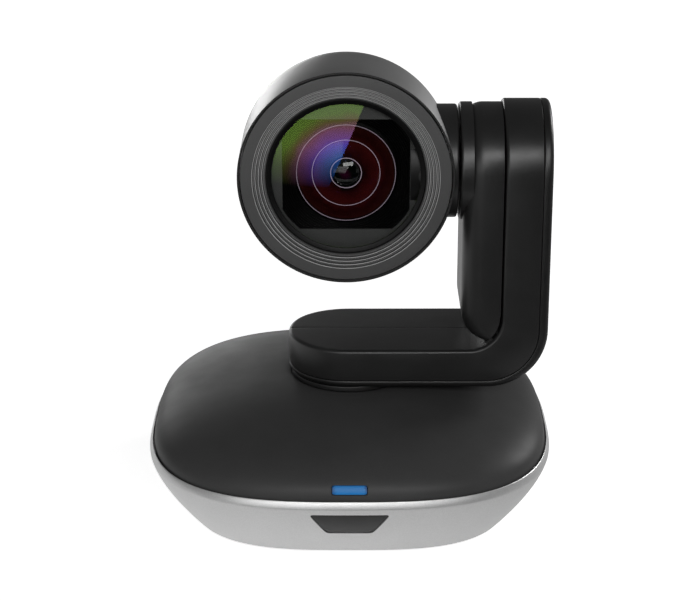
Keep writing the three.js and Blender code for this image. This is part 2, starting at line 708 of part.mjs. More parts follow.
function panPinion() {
  const turned = planPrism(gearShape(PINION_TEETH, halfPitch), PAN_GEAR_BOTTOM_Z, PAN_GEAR_TOP_Z);
  const shaft = rod("z", 1.2, PLATE_BOTTOM_Z - 5, PAN_GEAR_TOP_Z + 1, [0, 0], FINE_FACETS);
  return join(turned, shaft).translate([PAN_MOTOR_X, 0, 0]);
}

function panGear() {
  const disc = planPrism(gearShape(PAN_GEAR_TEETH), PAN_GEAR_BOTTOM_Z, PAN_GEAR_TOP_Z);
  const bore = rod("z", PAN_SHAFT_RADIUS + SEAT, PAN_GEAR_BOTTOM_Z - 1, PAN_GEAR_TOP_Z + 1);
  const lightening = steps(5)
    .slice(0, -1)
    .map((t) => [15 * Math.cos(2 * Math.PI * t), 15 * Math.sin(2 * Math.PI * t)])
    .map((at) => rod("z", 3, PAN_GEAR_BOTTOM_Z - 1, PAN_GEAR_TOP_Z + 1, at, FINE_FACETS));
  return cut(disc, bore, ...lightening);
}

function panTurntable() {
  const neckTop = LEG_BOTTOM_Z + WALL;
  return cut(
    join(
      rod("z", COLLAR_RADIUS, PAN_SEAT_Z + FIT, ARM_BOTTOM_Z - SEAT, [0, 0], LARGE_FACETS),
      rod("z", PAN_SHAFT_RADIUS + 2, ARM_BOTTOM_Z - 1, neckTop),
      rod("z", PAN_SHAFT_RADIUS, PLATE_BOTTOM_Z - 3, ARM_BOTTOM_Z),
    ),
    rod("z", PAN_SHAFT_BORE, PLATE_BOTTOM_Z - 4, neckTop + 1),
  );
}

function panClip() {
  const ring = tube(
    "z",
    PAN_SHAFT_RADIUS + 2.2,
    PAN_SHAFT_RADIUS + SEAT,
    PLATE_BOTTOM_Z - 1.6,
    PLATE_BOTTOM_Z - FIT,
  );
  return cut(ring, box(0, 20, -2, 2, PLATE_BOTTOM_Z - 3, PLATE_BOTTOM_Z));
}

// ---------------------------------------------------------------- arm

/** The arm's volume between a lower-outer line and an upper-inner line, all drawn in by a distance. */
function armVolume(outerX, bottomZ, cornerRadius, by = 0) {
  const left = -ARM_HALF_DEPTH + by;
  const top = AXIS_Z + ARM_HALF_DEPTH - by;
  const elbow = roundedShape([
    [left, bottomZ + by],
    [outerX - by, bottomZ + by, cornerRadius - by],
    [outerX - by, top],
    [UPRIGHT_X + by, top],
    [UPRIGHT_X + by, LEG_TOP_Z - by, INNER_FILLET + by],
    [left, LEG_TOP_Z - by],
  ]);
  const depth = ARM_HALF_DEPTH - by;
  const plan = new THREE.Shape();
  plan.absarc(0, 0, depth, Math.PI / 2, 1.5 * Math.PI);
  plan.lineTo(outerX + 1, -depth);
  plan.lineTo(outerX + 1, depth);
  const side = new THREE.Shape();
  side.absarc(0, AXIS_Z, depth, 0, Math.PI);
  side.lineTo(-depth, bottomZ - 1);
  side.lineTo(depth, bottomZ - 1);
  return common(
    frontPrism(elbow, -depth - 1, depth + 1, 7),
    planPrism(plan, bottomZ - 1, top + 1, 14),
    sidePrism(side, left - 1, outerX + 1, 14),
  );
}

const innerCorner = OUTER_CORNER - LEG_COVER;
const neckHole = () => rod("z", PAN_SHAFT_RADIUS + 2 + SEAT, ARM_BOTTOM_Z - 1, LEG_BOTTOM_Z + WALL + 1);

/** Front (-1) or rear (1) half of the arm's shell. */
function armShell(side) {
  const skin = cut(
    armVolume(UPRIGHT_OUTER_X, LEG_BOTTOM_Z, innerCorner),
    armVolume(UPRIGHT_OUTER_X, LEG_BOTTOM_Z, innerCorner, WALL),
  );
  const across = side < 0 ? [-ARM_DEPTH, -SEAT / 2] : [SEAT / 2, ARM_DEPTH];
  const keep = box(-ARM_DEPTH, BASE_WIDTH, ...across, 0, 2 * AXIS_Z);
  const half = Math.max(TILT_MOTOR_RADIUS, BEARING_RADIUS + 0.5) + 1;
  const podWindow = box(
    UPRIGHT_X - 1,
    UPRIGHT_X + WALL + 1,
    -half,
    half,
    TILT_MOTOR_Z - TILT_MOTOR_RADIUS - 1,
    AXIS_Z + half,
  );
  return cut(common(skin, keep), neckHole(), podWindow);
}

function armOuterCover() {
  const full = armVolume(ARM_OUTER_X, ARM_BOTTOM_Z, OUTER_CORNER);
  const elbow = roundedShape([
    [-ARM_DEPTH, LEG_BOTTOM_Z - SEAT],
    [UPRIGHT_OUTER_X + SEAT, LEG_BOTTOM_Z - SEAT, innerCorner],
    [UPRIGHT_OUTER_X + SEAT, 2 * AXIS_Z],
    [-ARM_DEPTH, 2 * AXIS_Z],
  ]);
  return cut(full, frontPrism(elbow, -ARM_DEPTH, ARM_DEPTH, 7), neckHole());
}

/** The pod's volume between the upright and the head, drawn in by a distance. */
function podVolume(by = 0) {
  const radius = ARM_HALF_DEPTH - SEAT - 1 - by;
  const face = roundedShape([
    [UPRIGHT_X - SEAT, LEG_TOP_Z + 1.5 + by],
    [UPRIGHT_X - SEAT, AXIS_Z],
    [POD_X + by, AXIS_Z],
    [POD_X + by, LEG_TOP_Z + 1.5 + by, POD_DEPTH - POD_SHOULDER - by - 2],
  ]);
  const body = common(
    frontPrism(face, -radius, radius, 8),
    box(0, UPRIGHT_X - SEAT, -radius, radius, 0, AXIS_Z),
  );
  const boss = rod("x", radius, BOSS_X + by, UPRIGHT_X - SEAT, [0, AXIS_Z], LARGE_FACETS);
  const rise = INNER_FILLET + by;
  const filletBlock = box(UPRIGHT_X - rise, UPRIGHT_X, -ARM_DEPTH, ARM_DEPTH, 0, LEG_TOP_Z + rise);
  const filletAt = [UPRIGHT_X - rise, LEG_TOP_Z + rise];
  const fillet = rod("y", rise - FIT, -ARM_DEPTH, ARM_DEPTH, filletAt, LARGE_FACETS);
  const clearOfArm = cut(filletBlock, fillet);
  return join(cut(body, clearOfArm), boss);
}

function tiltPod() {
  const room = podVolume(WALL);
  const open = common(
    join(room, room.translate([WALL, 0, 0])),
    box(0, UPRIGHT_X + 1, -ARM_DEPTH, ARM_DEPTH, LEG_TOP_Z + INNER_FILLET + WALL, 2 * AXIS_Z),
  );
  return cut(
    podVolume(),
    open,
    rod("x", TILT_SHAFT_RADIUS + RUNNING, BOSS_X - 1, UPRIGHT_X + 1, [0, AXIS_Z]),
  );
}

const SHEET_X = UPRIGHT_X + WALL + SEAT;
const SHEET_OUTER_X = SHEET_X + ARM_FRAME_SHEET;
const FOOT_PLATE_Z = LEG_BOTTOM_Z + WALL + SEAT;
const FRAME_BEND = 12;
const FRAME_START_X = -8;
const gearX = SHEET_OUTER_X + 0.8;
const SHAFT_STUB = 0.5; // a shaft's end beyond its gear
const GEAR_TO_WALL = 1.1;
const gearRoom = UPRIGHT_OUTER_X - WALL - GEAR_TO_WALL - SHAFT_STUB;
const TILT_GEAR_FACE = gearRoom - gearX;

function armFrame() {
  const reach = CAVITY_HALF_DEPTH - 4;
  const top = AXIS_Z + BEARING_RADIUS + 1;
  const bend = roundedShape([
    [FRAME_START_X, FOOT_PLATE_Z],
    [SHEET_OUTER_X, FOOT_PLATE_Z, FRAME_BEND],
    [SHEET_OUTER_X, top],
    [SHEET_X, top],
    [SHEET_X, FOOT_PLATE_Z + ARM_FRAME_SHEET, FRAME_BEND - ARM_FRAME_SHEET],
    [FRAME_START_X, FOOT_PLATE_Z + ARM_FRAME_SHEET],
  ]);
  return cut(
    frontPrism(bend, -reach, reach, 6),
    rod("z", PAN_SHAFT_BORE, FOOT_PLATE_Z - 1, FOOT_PLATE_Z + 3),
    rod("x", BEARING_RADIUS + SEAT, SHEET_X - 1, SHEET_OUTER_X + 1, [0, AXIS_Z]),
    rod("x", 4, SHEET_X - 1, SHEET_OUTER_X + 1, [0, TILT_MOTOR_Z]),
    box(SHEET_X - FRAME_BEND, SHEET_OUTER_X + 1, -6, 6, FOOT_PLATE_Z + 2, FOOT_PLATE_Z + 20),
  );
}

const tiltBearing = () =>
  tube("x", BEARING_RADIUS, TILT_SHAFT_RADIUS + RUNNING, SHEET_X - 2, SHEET_OUTER_X + 0.4, [0, AXIS_Z]);

function tiltMotor() {
  const at = [0, TILT_MOTOR_Z];
  const body = rod("x", TILT_MOTOR_RADIUS, SHEET_X - 8, SHEET_X - SEAT, at, MEDIUM_FACETS);
  return cut(body, rod("x", 1.8, SHEET_X - 6, SHEET_X + 1, at, FINE_FACETS));
}

function tiltPinion() {
  const teeth = sidePrism(gearShape(PINION_TEETH, halfPitch), gearX, gearX + TILT_GEAR_FACE);
  return join(teeth, rod("x", 1.2, SHEET_X - 5, gearX + TILT_GEAR_FACE + SHAFT_STUB, [0, 0], FINE_FACETS)).translate([
    0,
    0,
    TILT_MOTOR_Z,
  ]);
}

/** A round cable through a list of points. */
function cable(points, radius) {
  const path = new THREE.CatmullRomCurve3(points.map((point) => new THREE.Vector3(...point)));
  const outline = new THREE.Shape();
  outline.absarc(0, 0, radius, 0, 2 * Math.PI);
  const options = { steps: 22, curveSegments: 4, extrudePath: path, bevelEnabled: false };
  return solid(new THREE.ExtrudeGeometry(outline, options));
}

function armCable() {
  const legZ = FOOT_PLATE_Z + ARM_FRAME_SHEET + 1.8;
  const outerX = gearX + 1.5;
  return cable(
    [
      [0, 0, PLATE_BOTTOM_Z - 8],
      [0, 0, ARM_BOTTOM_Z],
      [3, 0, legZ - 1],
      [12, 0, legZ],
      [UPRIGHT_X - 8, 0, legZ],
      [outerX - 3, 0, legZ + 4],
      [outerX, 0, legZ + 12],
      [outerX, 0, TILT_MOTOR_Z - 12],
    ],
    1.3,
  );
}

// ---------------------------------------------------------------- head

/** The head's outer radius at a place along the lens axis. */
function headRadius(y) {
  const along = Math.max(0, y - REAR_START_Y) / REAR_DOME;
  return HEAD_RADIUS * Math.sqrt(Math.max(0, 1 - along * along));
}

const BARREL_RINGS = [REAR_START_Y, mix(REAR_START_Y, SEAM_Y, 0.5), SEAM_Y];
const CAP_START_Y = SEAM_Y + SEAT;
const CAP_END_Y = REAR_START_Y + REAR_DOME;
const CAP_SHARES = steps(5).map((t) => Math.sin((t * Math.PI) / 2));
const CAP_RINGS = CAP_SHARES.map((t) => mix(CAP_START_Y, CAP_END_Y, t));
const outside = (y) => [headRadius(y), y];

const BEZEL_RADIUS = HEAD_RADIUS - 1;
const BEZEL_DEPTH = 4.4;
const BEZEL_RECESS = 0.3;
const LIP = 0.6;

function headBarrel() {
  const seat = FACE_Y + BEZEL_DEPTH + BEZEL_RECESS + SEAT;
  const made = turnedLens([
    [HEAD_RADIUS - LIP, FACE_Y],
    [HEAD_RADIUS, FACE_Y],
    ...BARREL_RINGS.map(outside),
    [headRadius(SEAM_Y) - WALL, SEAM_Y],
    [HEAD_RADIUS - WALL, REAR_START_Y],
    [HEAD_RADIUS - WALL, seat],
    [HEAD_RADIUS - LIP, seat],
    [HEAD_RADIUS - LIP, FACE_Y],
  ]);
  return cut(made, rod("x", TILT_SHAFT_RADIUS + SEAT, 0, HUB_END_X, [0, AXIS_Z]));
}

function headRearCap() {
  const outer = CAP_RINGS.map(outside);
  outer.at(-1)[0] = 0;
  const inner = CAP_RINGS.map((y, i) => {
    const back = WALL * CAP_SHARES[i];
    return [Math.max(0, headRadius(y) - WALL), y - back];
  }).reverse();
  inner[0][0] = 0;
  return turnedLens([...outer, ...inner, outer[0]]);
}

function frontBezel() {
  const front = FACE_Y + BEZEL_RECESS;
  const back = front + BEZEL_DEPTH;
  const stairs = [];
  for (let i = 0; i < BEZEL_STEPS; i++) {
    const radius = BEZEL_OPENING + BEZEL_STEP * (BEZEL_STEPS - i);
    const depth = front + BEZEL_STEP_DEPTH * i;
    stairs.push([radius, depth], [radius, depth + BEZEL_STEP_DEPTH]);
  }
  const bottom = front + BEZEL_STEP_DEPTH * BEZEL_STEPS;
  return turnedLens([
    ...stairs,
    [BEZEL_OPENING, bottom],
    [BEZEL_OPENING, back],
    [BEZEL_RADIUS, back],
    [BEZEL_RADIUS, front],
    stairs[0],
  ]);
}

const GLASS_SAG = 1.8;
const GLASS_EDGE = 1.6;

const lensRing = () =>
  turnedLens([
    [LENS_RADIUS - 1.4, GLASS_Y - 1],
    [LENS_RADIUS + 0.2, GLASS_Y - 1],
    [LENS_RADIUS + 0.2, GLASS_Y - 0.4],
    [LENS_RADIUS - 1.4, GLASS_Y - 0.4],
    [LENS_RADIUS - 1.4, GLASS_Y - 1],
  ]);

/** A lens bulging forward by sag, with a flat back. */
function lens(radius, frontY, sag, edge, rings = 3, facets = MEDIUM_FACETS) {
  const sphere = (radius * radius + sag * sag) / (2 * sag);
  const bulge = (r) => Math.sqrt(sphere * sphere - r * r) - (sphere - sag);
  const front = steps(rings).map((t) => [radius * t, frontY - bulge(radius * t)]);
  return turnedLens([...front, [radius, frontY + edge], [0, frontY + edge]], facets);
}

const frontLens = () => lens(LENS_RADIUS, GLASS_Y, GLASS_SAG, GLASS_EDGE, 5, LARGE_FACETS);

const BAFFLE_Y = GLASS_Y + GLASS_EDGE + SEAT;
const HOUSING_Y = BAFFLE_Y + 0.8 + SEAT;

function lensBaffle() {
  const opening = common(
    rod("y", LENS_RADIUS - 1.7, BAFFLE_Y - 1, BAFFLE_Y + 2, [HEAD_OFFSET, AXIS_Z], LARGE_FACETS),
    box(
      HEAD_OFFSET - BAFFLE_WIDTH / 2,
      HEAD_OFFSET + BAFFLE_WIDTH / 2,
      BAFFLE_Y - 1,
      BAFFLE_Y + 2,
      AXIS_Z - BAFFLE_HEIGHT / 2,
      AXIS_Z + BAFFLE_HEIGHT / 2,
    ),
  );
  const disc = rod("y", LENS_RADIUS, BAFFLE_Y, BAFFLE_Y + 0.8, [HEAD_OFFSET, AXIS_Z], LARGE_FACETS);
  return cut(disc, opening);
}

const HOUSING_WALL = 1.6;
const HOUSING_BORE = LENS_RADIUS - HOUSING_WALL;
const ROOM_END_Y = TUBE_END_Y - HOUSING_WALL;
const CELL_RADIUS = HOUSING_BORE - FIT;
const FIXED_CELL_LENGTH = 3;
const FIXED_APERTURE = LENS_RADIUS * FIXED_LENS_SHARE;
const ZOOM_APERTURE = LENS_RADIUS * ZOOM_LENS_SHARE;
const IRIS_APERTURE = LENS_RADIUS * IRIS_SHARE;
const IRIS_THICKNESS = 1;
const ZOOM_LENGTH = 4;
const FOCUS_LENGTH = 2;
const ZOOM_Y = HOUSING_Y + FIXED_CELL_LENGTH + ZOOM_TRAVEL + 1.5;
const IRIS_Y = ZOOM_Y + ZOOM_LENGTH + ZOOM_TRAVEL + 0.6;
const FOCUS_Y = IRIS_Y + IRIS_THICKNESS + FOCUS_TRAVEL + 0.6;
const GUIDE_ROD_RADIUS = 1;
const LEAD_SCREW_RADIUS = 1.25;
const lensAxisAt = (x, z) => [HEAD_OFFSET + x, AXIS_Z + z];
const LEFT_ROD = lensAxisAt(-ROD_OFFSET * Math.SQRT1_2, -ROD_OFFSET * Math.SQRT1_2);
const RIGHT_ROD = lensAxisAt(ROD_OFFSET * Math.SQRT1_2, -ROD_OFFSET * Math.SQRT1_2);
const SCREW_AT = lensAxisAt(0, ROD_OFFSET);
const ROD_START_Y = HOUSING_Y + FIXED_CELL_LENGTH + 0.4;

function lensHousing() {
  const body = tube("y", LENS_RADIUS, HOUSING_BORE, HOUSING_Y, TUBE_END_Y, lensAxisAt(0, 0), LARGE_FACETS);
  const wall = rod("y", LENS_RADIUS - 1, ROOM_END_Y, TUBE_END_Y, lensAxisAt(0, 0), LARGE_FACETS);
  return cut(
    join(body, wall),
    rod("y", 6, ROOM_END_Y - 1, TUBE_END_Y + 1, lensAxisAt(0, 0)),
    rod("y", GUIDE_ROD_RADIUS + SEAT, ROOM_END_Y - 1, ROOM_END_Y + 1, LEFT_ROD, FINE_FACETS),
    rod("y", GUIDE_ROD_RADIUS + SEAT, ROOM_END_Y - 1, ROOM_END_Y + 1, RIGHT_ROD, FINE_FACETS),
    rod("y", LEAD_SCREW_RADIUS + RUNNING, ROOM_END_Y - 1, TUBE_END_Y + 1, SCREW_AT, FINE_FACETS),
  );
}

function fixedLensCell() {
  const [start, end] = [HOUSING_Y + 0.2, ROD_START_Y - 0.4];
  return join(
    tube("y", CELL_RADIUS, FIXED_APERTURE - 0.2, start, end, lensAxisAt(0, 0), MEDIUM_FACETS),
    lens(FIXED_APERTURE, HOUSING_Y + 1.6, 1, 0.6),
  );
}

const guideRod = (at) => rod("y", GUIDE_ROD_RADIUS, ROD_START_Y, ROOM_END_Y + 0.8, at, FINE_FACETS);

/** A lens carrier with bushes for the guide rods and, if threaded, a nut for the lead screw. */
function carrier(aperture, y, length, threaded) {
  const rim = aperture + 2.5;
  const ring = rod("y", rim, y, y + length, lensAxisAt(0, 0), MEDIUM_FACETS);
  const bushes = [LEFT_ROD, RIGHT_ROD].map((at) => rod("y", 2.4, y, y + length, at, FINE_FACETS));
  const spokes = [LEFT_ROD, RIGHT_ROD].map(([x, z]) => {
    const web = Math.min(HEAD_OFFSET, x);
    return box(web, Math.max(HEAD_OFFSET, x), y, y + 1.5, z - 1.2, z + 1.2);
  });
  const stem = box(HEAD_OFFSET - 1.6, HEAD_OFFSET + 1.6, y, y + 1.5, AXIS_Z - ROD_OFFSET * 0.8, AXIS_Z);
  const parts = join(ring, stem, ...bushes, ...spokes);
  const nut = join(
    rod("y", 2.8, y, y + length, SCREW_AT, FINE_FACETS),
    box(HEAD_OFFSET - 1.6, HEAD_OFFSET + 1.6, y, y + 1.5, AXIS_Z, SCREW_AT[1]),
  );
  const bores = [LEFT_ROD, RIGHT_ROD].map((at) =>
    rod("y", GUIDE_ROD_RADIUS + RUNNING, y - 1, y + length + 1, at, FINE_FACETS),
  );
  const whole = threaded ? join(parts, nut) : parts;
  const screwBore = rod("y", LEAD_SCREW_RADIUS + RUNNING, y - 1, y + length + 1, SCREW_AT, FINE_FACETS);
  const eye = rod("y", aperture, y - 1, y + length + 1, lensAxisAt(0, 0), MEDIUM_FACETS);
  const glass = lens(aperture + 0.2, y + length * 0.5, 0.7, 0.4);
  return join(cut(whole, eye, screwBore, ...bores), glass);
}

function irisUnit() {
  const disc = rod("y", CELL_RADIUS, IRIS_Y, IRIS_Y + IRIS_THICKNESS, lensAxisAt(0, 0), MEDIUM_FACETS);
  const hole = (radius, at) => rod("y", radius, IRIS_Y - 1, IRIS_Y + 2, at, FINE_FACETS);
  return cut(
    disc,
    rod("y", IRIS_APERTURE, IRIS_Y - 1, IRIS_Y + 2, lensAxisAt(0, 0), MEDIUM_FACETS),
    hole(GUIDE_ROD_RADIUS + SEAT, LEFT_ROD),
    hole(GUIDE_ROD_RADIUS + SEAT, RIGHT_ROD),
    hole(LEAD_SCREW_RADIUS + RUNNING, SCREW_AT),
  );
}

const ZOOM_MOTOR_RADIUS = 3.6;

const zoomLeadScrew = () =>
  rod("y", LEAD_SCREW_RADIUS, ROD_START_Y + 0.4, TUBE_END_Y + 3, SCREW_AT, FINE_FACETS);

function zoomMotor() {
  const body = rod("y", ZOOM_MOTOR_RADIUS, TUBE_END_Y + SEAT, TUBE_END_Y + 7, SCREW_AT);
  const bore = LEAD_SCREW_RADIUS + RUNNING;
  return cut(body, rod("y", bore, TUBE_END_Y - 1, TUBE_END_Y + 4, SCREW_AT, FINE_FACETS));
}

function sensorBoard() {
  const y = TUBE_END_Y + SEAT;
  const half = ROD_OFFSET - ZOOM_MOTOR_RADIUS - 1.4;
  return join(
    box(HEAD_OFFSET - half, HEAD_OFFSET + half, y, y + 1.2, AXIS_Z - half, AXIS_Z + half),
    box(HEAD_OFFSET - 4, HEAD_OFFSET + 4, y - 1, y + 0.5, AXIS_Z - 3, AXIS_Z + 3),
    box(HEAD_OFFSET - 8, HEAD_OFFSET + 8, y + 1, y + 3, AXIS_Z - 10, AXIS_Z - 6),
  );
}

function tiltHub() {
  const at = [0, AXIS_Z];
  const block = rod("x", HUB_RADIUS, HEAD_OFFSET + 15, HUB_END_X, at, LARGE_FACETS);
  const rings = [FACE_Y - 5, ...BARREL_RINGS, ...CAP_RINGS.slice(0, -1)];
  const skin = rings.map((y) => [headRadius(y) + SEAT, y]);
  const clearOfBarrel = turnedLens([[0, rings[0]], ...skin, [0, rings.at(-1)]]);
  const [shaftStart, shaftEnd] = [HEAD_OFFSET + HEAD_RADIUS - WALL - 2, gearX + TILT_GEAR_FACE + SHAFT_STUB];
  const shaft = rod("x", TILT_SHAFT_RADIUS, shaftStart, shaftEnd, at);
  const bore = rod("x", TILT_SHAFT_BORE, HEAD_OFFSET, UPRIGHT_OUTER_X, at);
  return cut(join(cut(block, clearOfBarrel), shaft), bore);
}

function tiltGear() {
  const disc = sidePrism(gearShape(TILT_GEAR_TEETH), gearX, gearX + TILT_GEAR_FACE).translate([0, 0, AXIS_Z]);
  return cut(disc, rod("x", TILT_SHAFT_RADIUS + SEAT, gearX - 1, gearX + TILT_GEAR_FACE + 1, [0, AXIS_Z]));
}

// ---------------------------------------------------------------- assembly

const camera = new THREE.Group();
const base = new THREE.Group();
const arm = new THREE.Group();
const head = new THREE.Group();
camera.add(base);
base.add(arm);
arm.add(head);

const cornerNames = ["rear_right", "rear_left", "front_left", "front_right"];

piece(base, "base_top_cover", topCover(), "charcoalPlastic");
piece(base, "base_lower_shell", lowerShell(), "silverPaint");
piece(base, "bottom_plate", bottomPlate(), "blackPlastic");
corners(FOOT_X, FOOT_Y).forEach((at, i) => {
  piece(base, `foot_${cornerNames[i]}`, rod("z", FOOT_RADIUS, 0, FLOOR_Z - SEAT, at), "rubber");
});
corners(SCREW_X, SCREW_Y).forEach((at, i) => {
  piece(base, `base_screw_${cornerNames[i]}`, baseScrew(at), "steel");
});
piece(base, "tripod_insert", tripodInsert(), "brass");
piece(base, "infrared_window", infraredWindow(), "infraredWindow");
const receiverY = -HALF_DEPTH + 7.5;
piece(base, "infrared_receiver", box(-3.5, 3.5, receiverY, receiverY + 4, 12.4, 20), "blackPlastic");
piece(base, "status_light_pipe", lightPipe(), "blueLightPipe");
piece(base, "led_board", ledBoard(), "circuitBoard");
piece(base, "main_board", mainBoard(), "circuitBoard");
piece(base, "heat_spreader", heatSpreader(), "steel");
piece(base, "rear_port_panel", portPanel(), "blackPlastic");
piece(base, "power_jack", powerJack(), "blackPlastic");
piece(base, "data_port", socket(DATA_X, DATA_PORT, 3), "steel");
piece(base, "video_port", socket(VIDEO_X, VIDEO_PORT, 1.4), "steel");
piece(base, "network_jack", socket(NETWORK_X, NETWORK_PORT, 1.6), "steel");
piece(base, "pan_frame", panFrame(), "steel");
piece(base, "pan_motor", panMotor(), "steel");
piece(base, "pan_bearing", panBearing(), "brass");
piece(base, "pan_pinion", panPinion(), "brass");

piece(arm, "pan_turntable", panTurntable(), "blackPlastic");
piece(arm, "pan_gear", panGear(), "gearResin");
piece(arm, "pan_retaining_clip", panClip(), "steel");
piece(arm, "arm_front_shell", armShell(-1), "charcoalPlastic");
piece(arm, "arm_rear_shell", armShell(1), "charcoalPlastic");
piece(arm, "arm_outer_cover", armOuterCover(), "blackPlastic");
piece(arm, "tilt_pod", tiltPod(), "charcoalPlastic");
piece(arm, "arm_frame", armFrame(), "steel");
piece(arm, "tilt_motor", tiltMotor(), "steel");
piece(arm, "tilt_bearing", tiltBearing(), "brass");
piece(arm, "arm_cable", armCable(), "flexCircuit");
piece(arm, "tilt_pinion", tiltPinion(), "brass");

piece(head, "head_barrel", headBarrel(), "barrelPaint");
piece(head, "head_rear_cap", headRearCap(), "charcoalPlastic");
piece(head, "front_bezel", frontBezel(), "faceplatePlastic");
piece(head, "lens_ring", lensRing(), "blackPlastic");
piece(head, "front_lens", frontLens(), "glass");
piece(head, "lens_baffle", lensBaffle(), "blackPlastic");
piece(head, "lens_housing", lensHousing(), "blackPlastic");
piece(head, "fixed_lens_cell", fixedLensCell(), "blackPlastic");
piece(head, "iris_unit", irisUnit(), "blackPlastic");
piece(head, "guide_rod_left", guideRod(LEFT_ROD), "steel");
piece(head, "guide_rod_right", guideRod(RIGHT_ROD), "steel");
piece(head, "zoom_motor", zoomMotor(), "steel");
piece(head, "image_sensor_board", sensorBoard(), "circuitBoard");
piece(head, "tilt_hub", tiltHub(), "charcoalPlastic");
piece(head, "tilt_gear", tiltGear(), "gearResin");
piece(head, "zoom_lead_screw", zoomLeadScrew(), "steel");
piece(head, "zoom_lens_group", carrier(ZOOM_APERTURE, ZOOM_Y, ZOOM_LENGTH, true), "blackPlastic");
piece(head, "focus_lens_group", carrier(IRIS_APERTURE + 2, FOCUS_Y, FOCUS_LENGTH, false), "blackPlastic");

export default camera;
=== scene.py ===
"""Looks of a motorised pan, tilt and zoom conference camera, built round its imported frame."""

import json
import logging
import math
from collections.abc import Callable
from dataclasses import dataclass
from enum import Enum

import bmesh
import bpy
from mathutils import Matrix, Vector


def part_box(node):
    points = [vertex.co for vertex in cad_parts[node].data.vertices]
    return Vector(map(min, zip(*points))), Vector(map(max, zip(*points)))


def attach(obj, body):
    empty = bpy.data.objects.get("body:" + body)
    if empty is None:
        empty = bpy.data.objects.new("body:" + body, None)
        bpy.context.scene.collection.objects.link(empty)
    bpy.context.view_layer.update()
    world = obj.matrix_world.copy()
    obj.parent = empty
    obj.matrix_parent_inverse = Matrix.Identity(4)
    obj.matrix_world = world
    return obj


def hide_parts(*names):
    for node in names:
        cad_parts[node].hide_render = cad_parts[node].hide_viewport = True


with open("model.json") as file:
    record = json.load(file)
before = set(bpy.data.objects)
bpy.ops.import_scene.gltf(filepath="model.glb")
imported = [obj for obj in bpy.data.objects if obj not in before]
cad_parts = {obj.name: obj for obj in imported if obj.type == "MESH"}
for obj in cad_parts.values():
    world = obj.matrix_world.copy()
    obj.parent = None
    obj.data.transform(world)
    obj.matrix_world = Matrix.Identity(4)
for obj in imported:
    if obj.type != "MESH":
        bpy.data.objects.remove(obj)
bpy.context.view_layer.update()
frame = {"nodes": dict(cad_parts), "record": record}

MM = 0.001
LOG = logging.getLogger("camera_looks")
Point2 = tuple[float, float]
Colour = tuple[float, float, float]


class Axis(Enum):
    """The line that a turned piece is turned about."""

    PAN = "pan"
    LENS = "lens"
    TILT = "tilt"


class Body(Enum):
    """The moving bodies that pieces ride on."""

    BASE = "base"
    ARM = "arm"
    HEAD = "head"


# ---------------------------------------------------------------- shader graphs


class Value:
    """One output of a shader graph, with arithmetic that adds Math nodes."""

    def __init__(self, graph: "Graph", socket: bpy.types.NodeSocket) -> None:
        """Wraps a socket.

        Args:
            graph: The graph that owns the socket.
            socket: The output socket.
        """
        self.graph = graph
        self.socket = socket

    def maths(self, operation: str, first: object, second: object) -> "Value":
        """Adds one Math node.

        Args:
            operation: The node's operation.
            first: Its first value.
            second: Its second value.

        Returns:
            The node's output.
        """
        return self.graph.node("ShaderNodeMath", {"operation": operation}, {0: first, 1: second})

    def __add__(self, other: object) -> "Value":
        """Sum."""
        return self.maths("ADD", self, other)

    __radd__ = __add__

    def __sub__(self, other: object) -> "Value":
        """Difference."""
        return self.maths("SUBTRACT", self, other)

    def __rsub__(self, other: object) -> "Value":
        """Difference from a number."""
        return self.maths("SUBTRACT", other, self)

    def __mul__(self, other: object) -> "Value":
        """Product."""
        return self.maths("MULTIPLY", self, other)

    def __truediv__(self, other: object) -> "Value":
        """Quotient."""
        return self.maths("DIVIDE", self, other)

    def above(self, limit: float) -> "Value":
        """1 where the value is over a limit, and 0 elsewhere."""
        return self.maths("GREATER_THAN", self, limit)


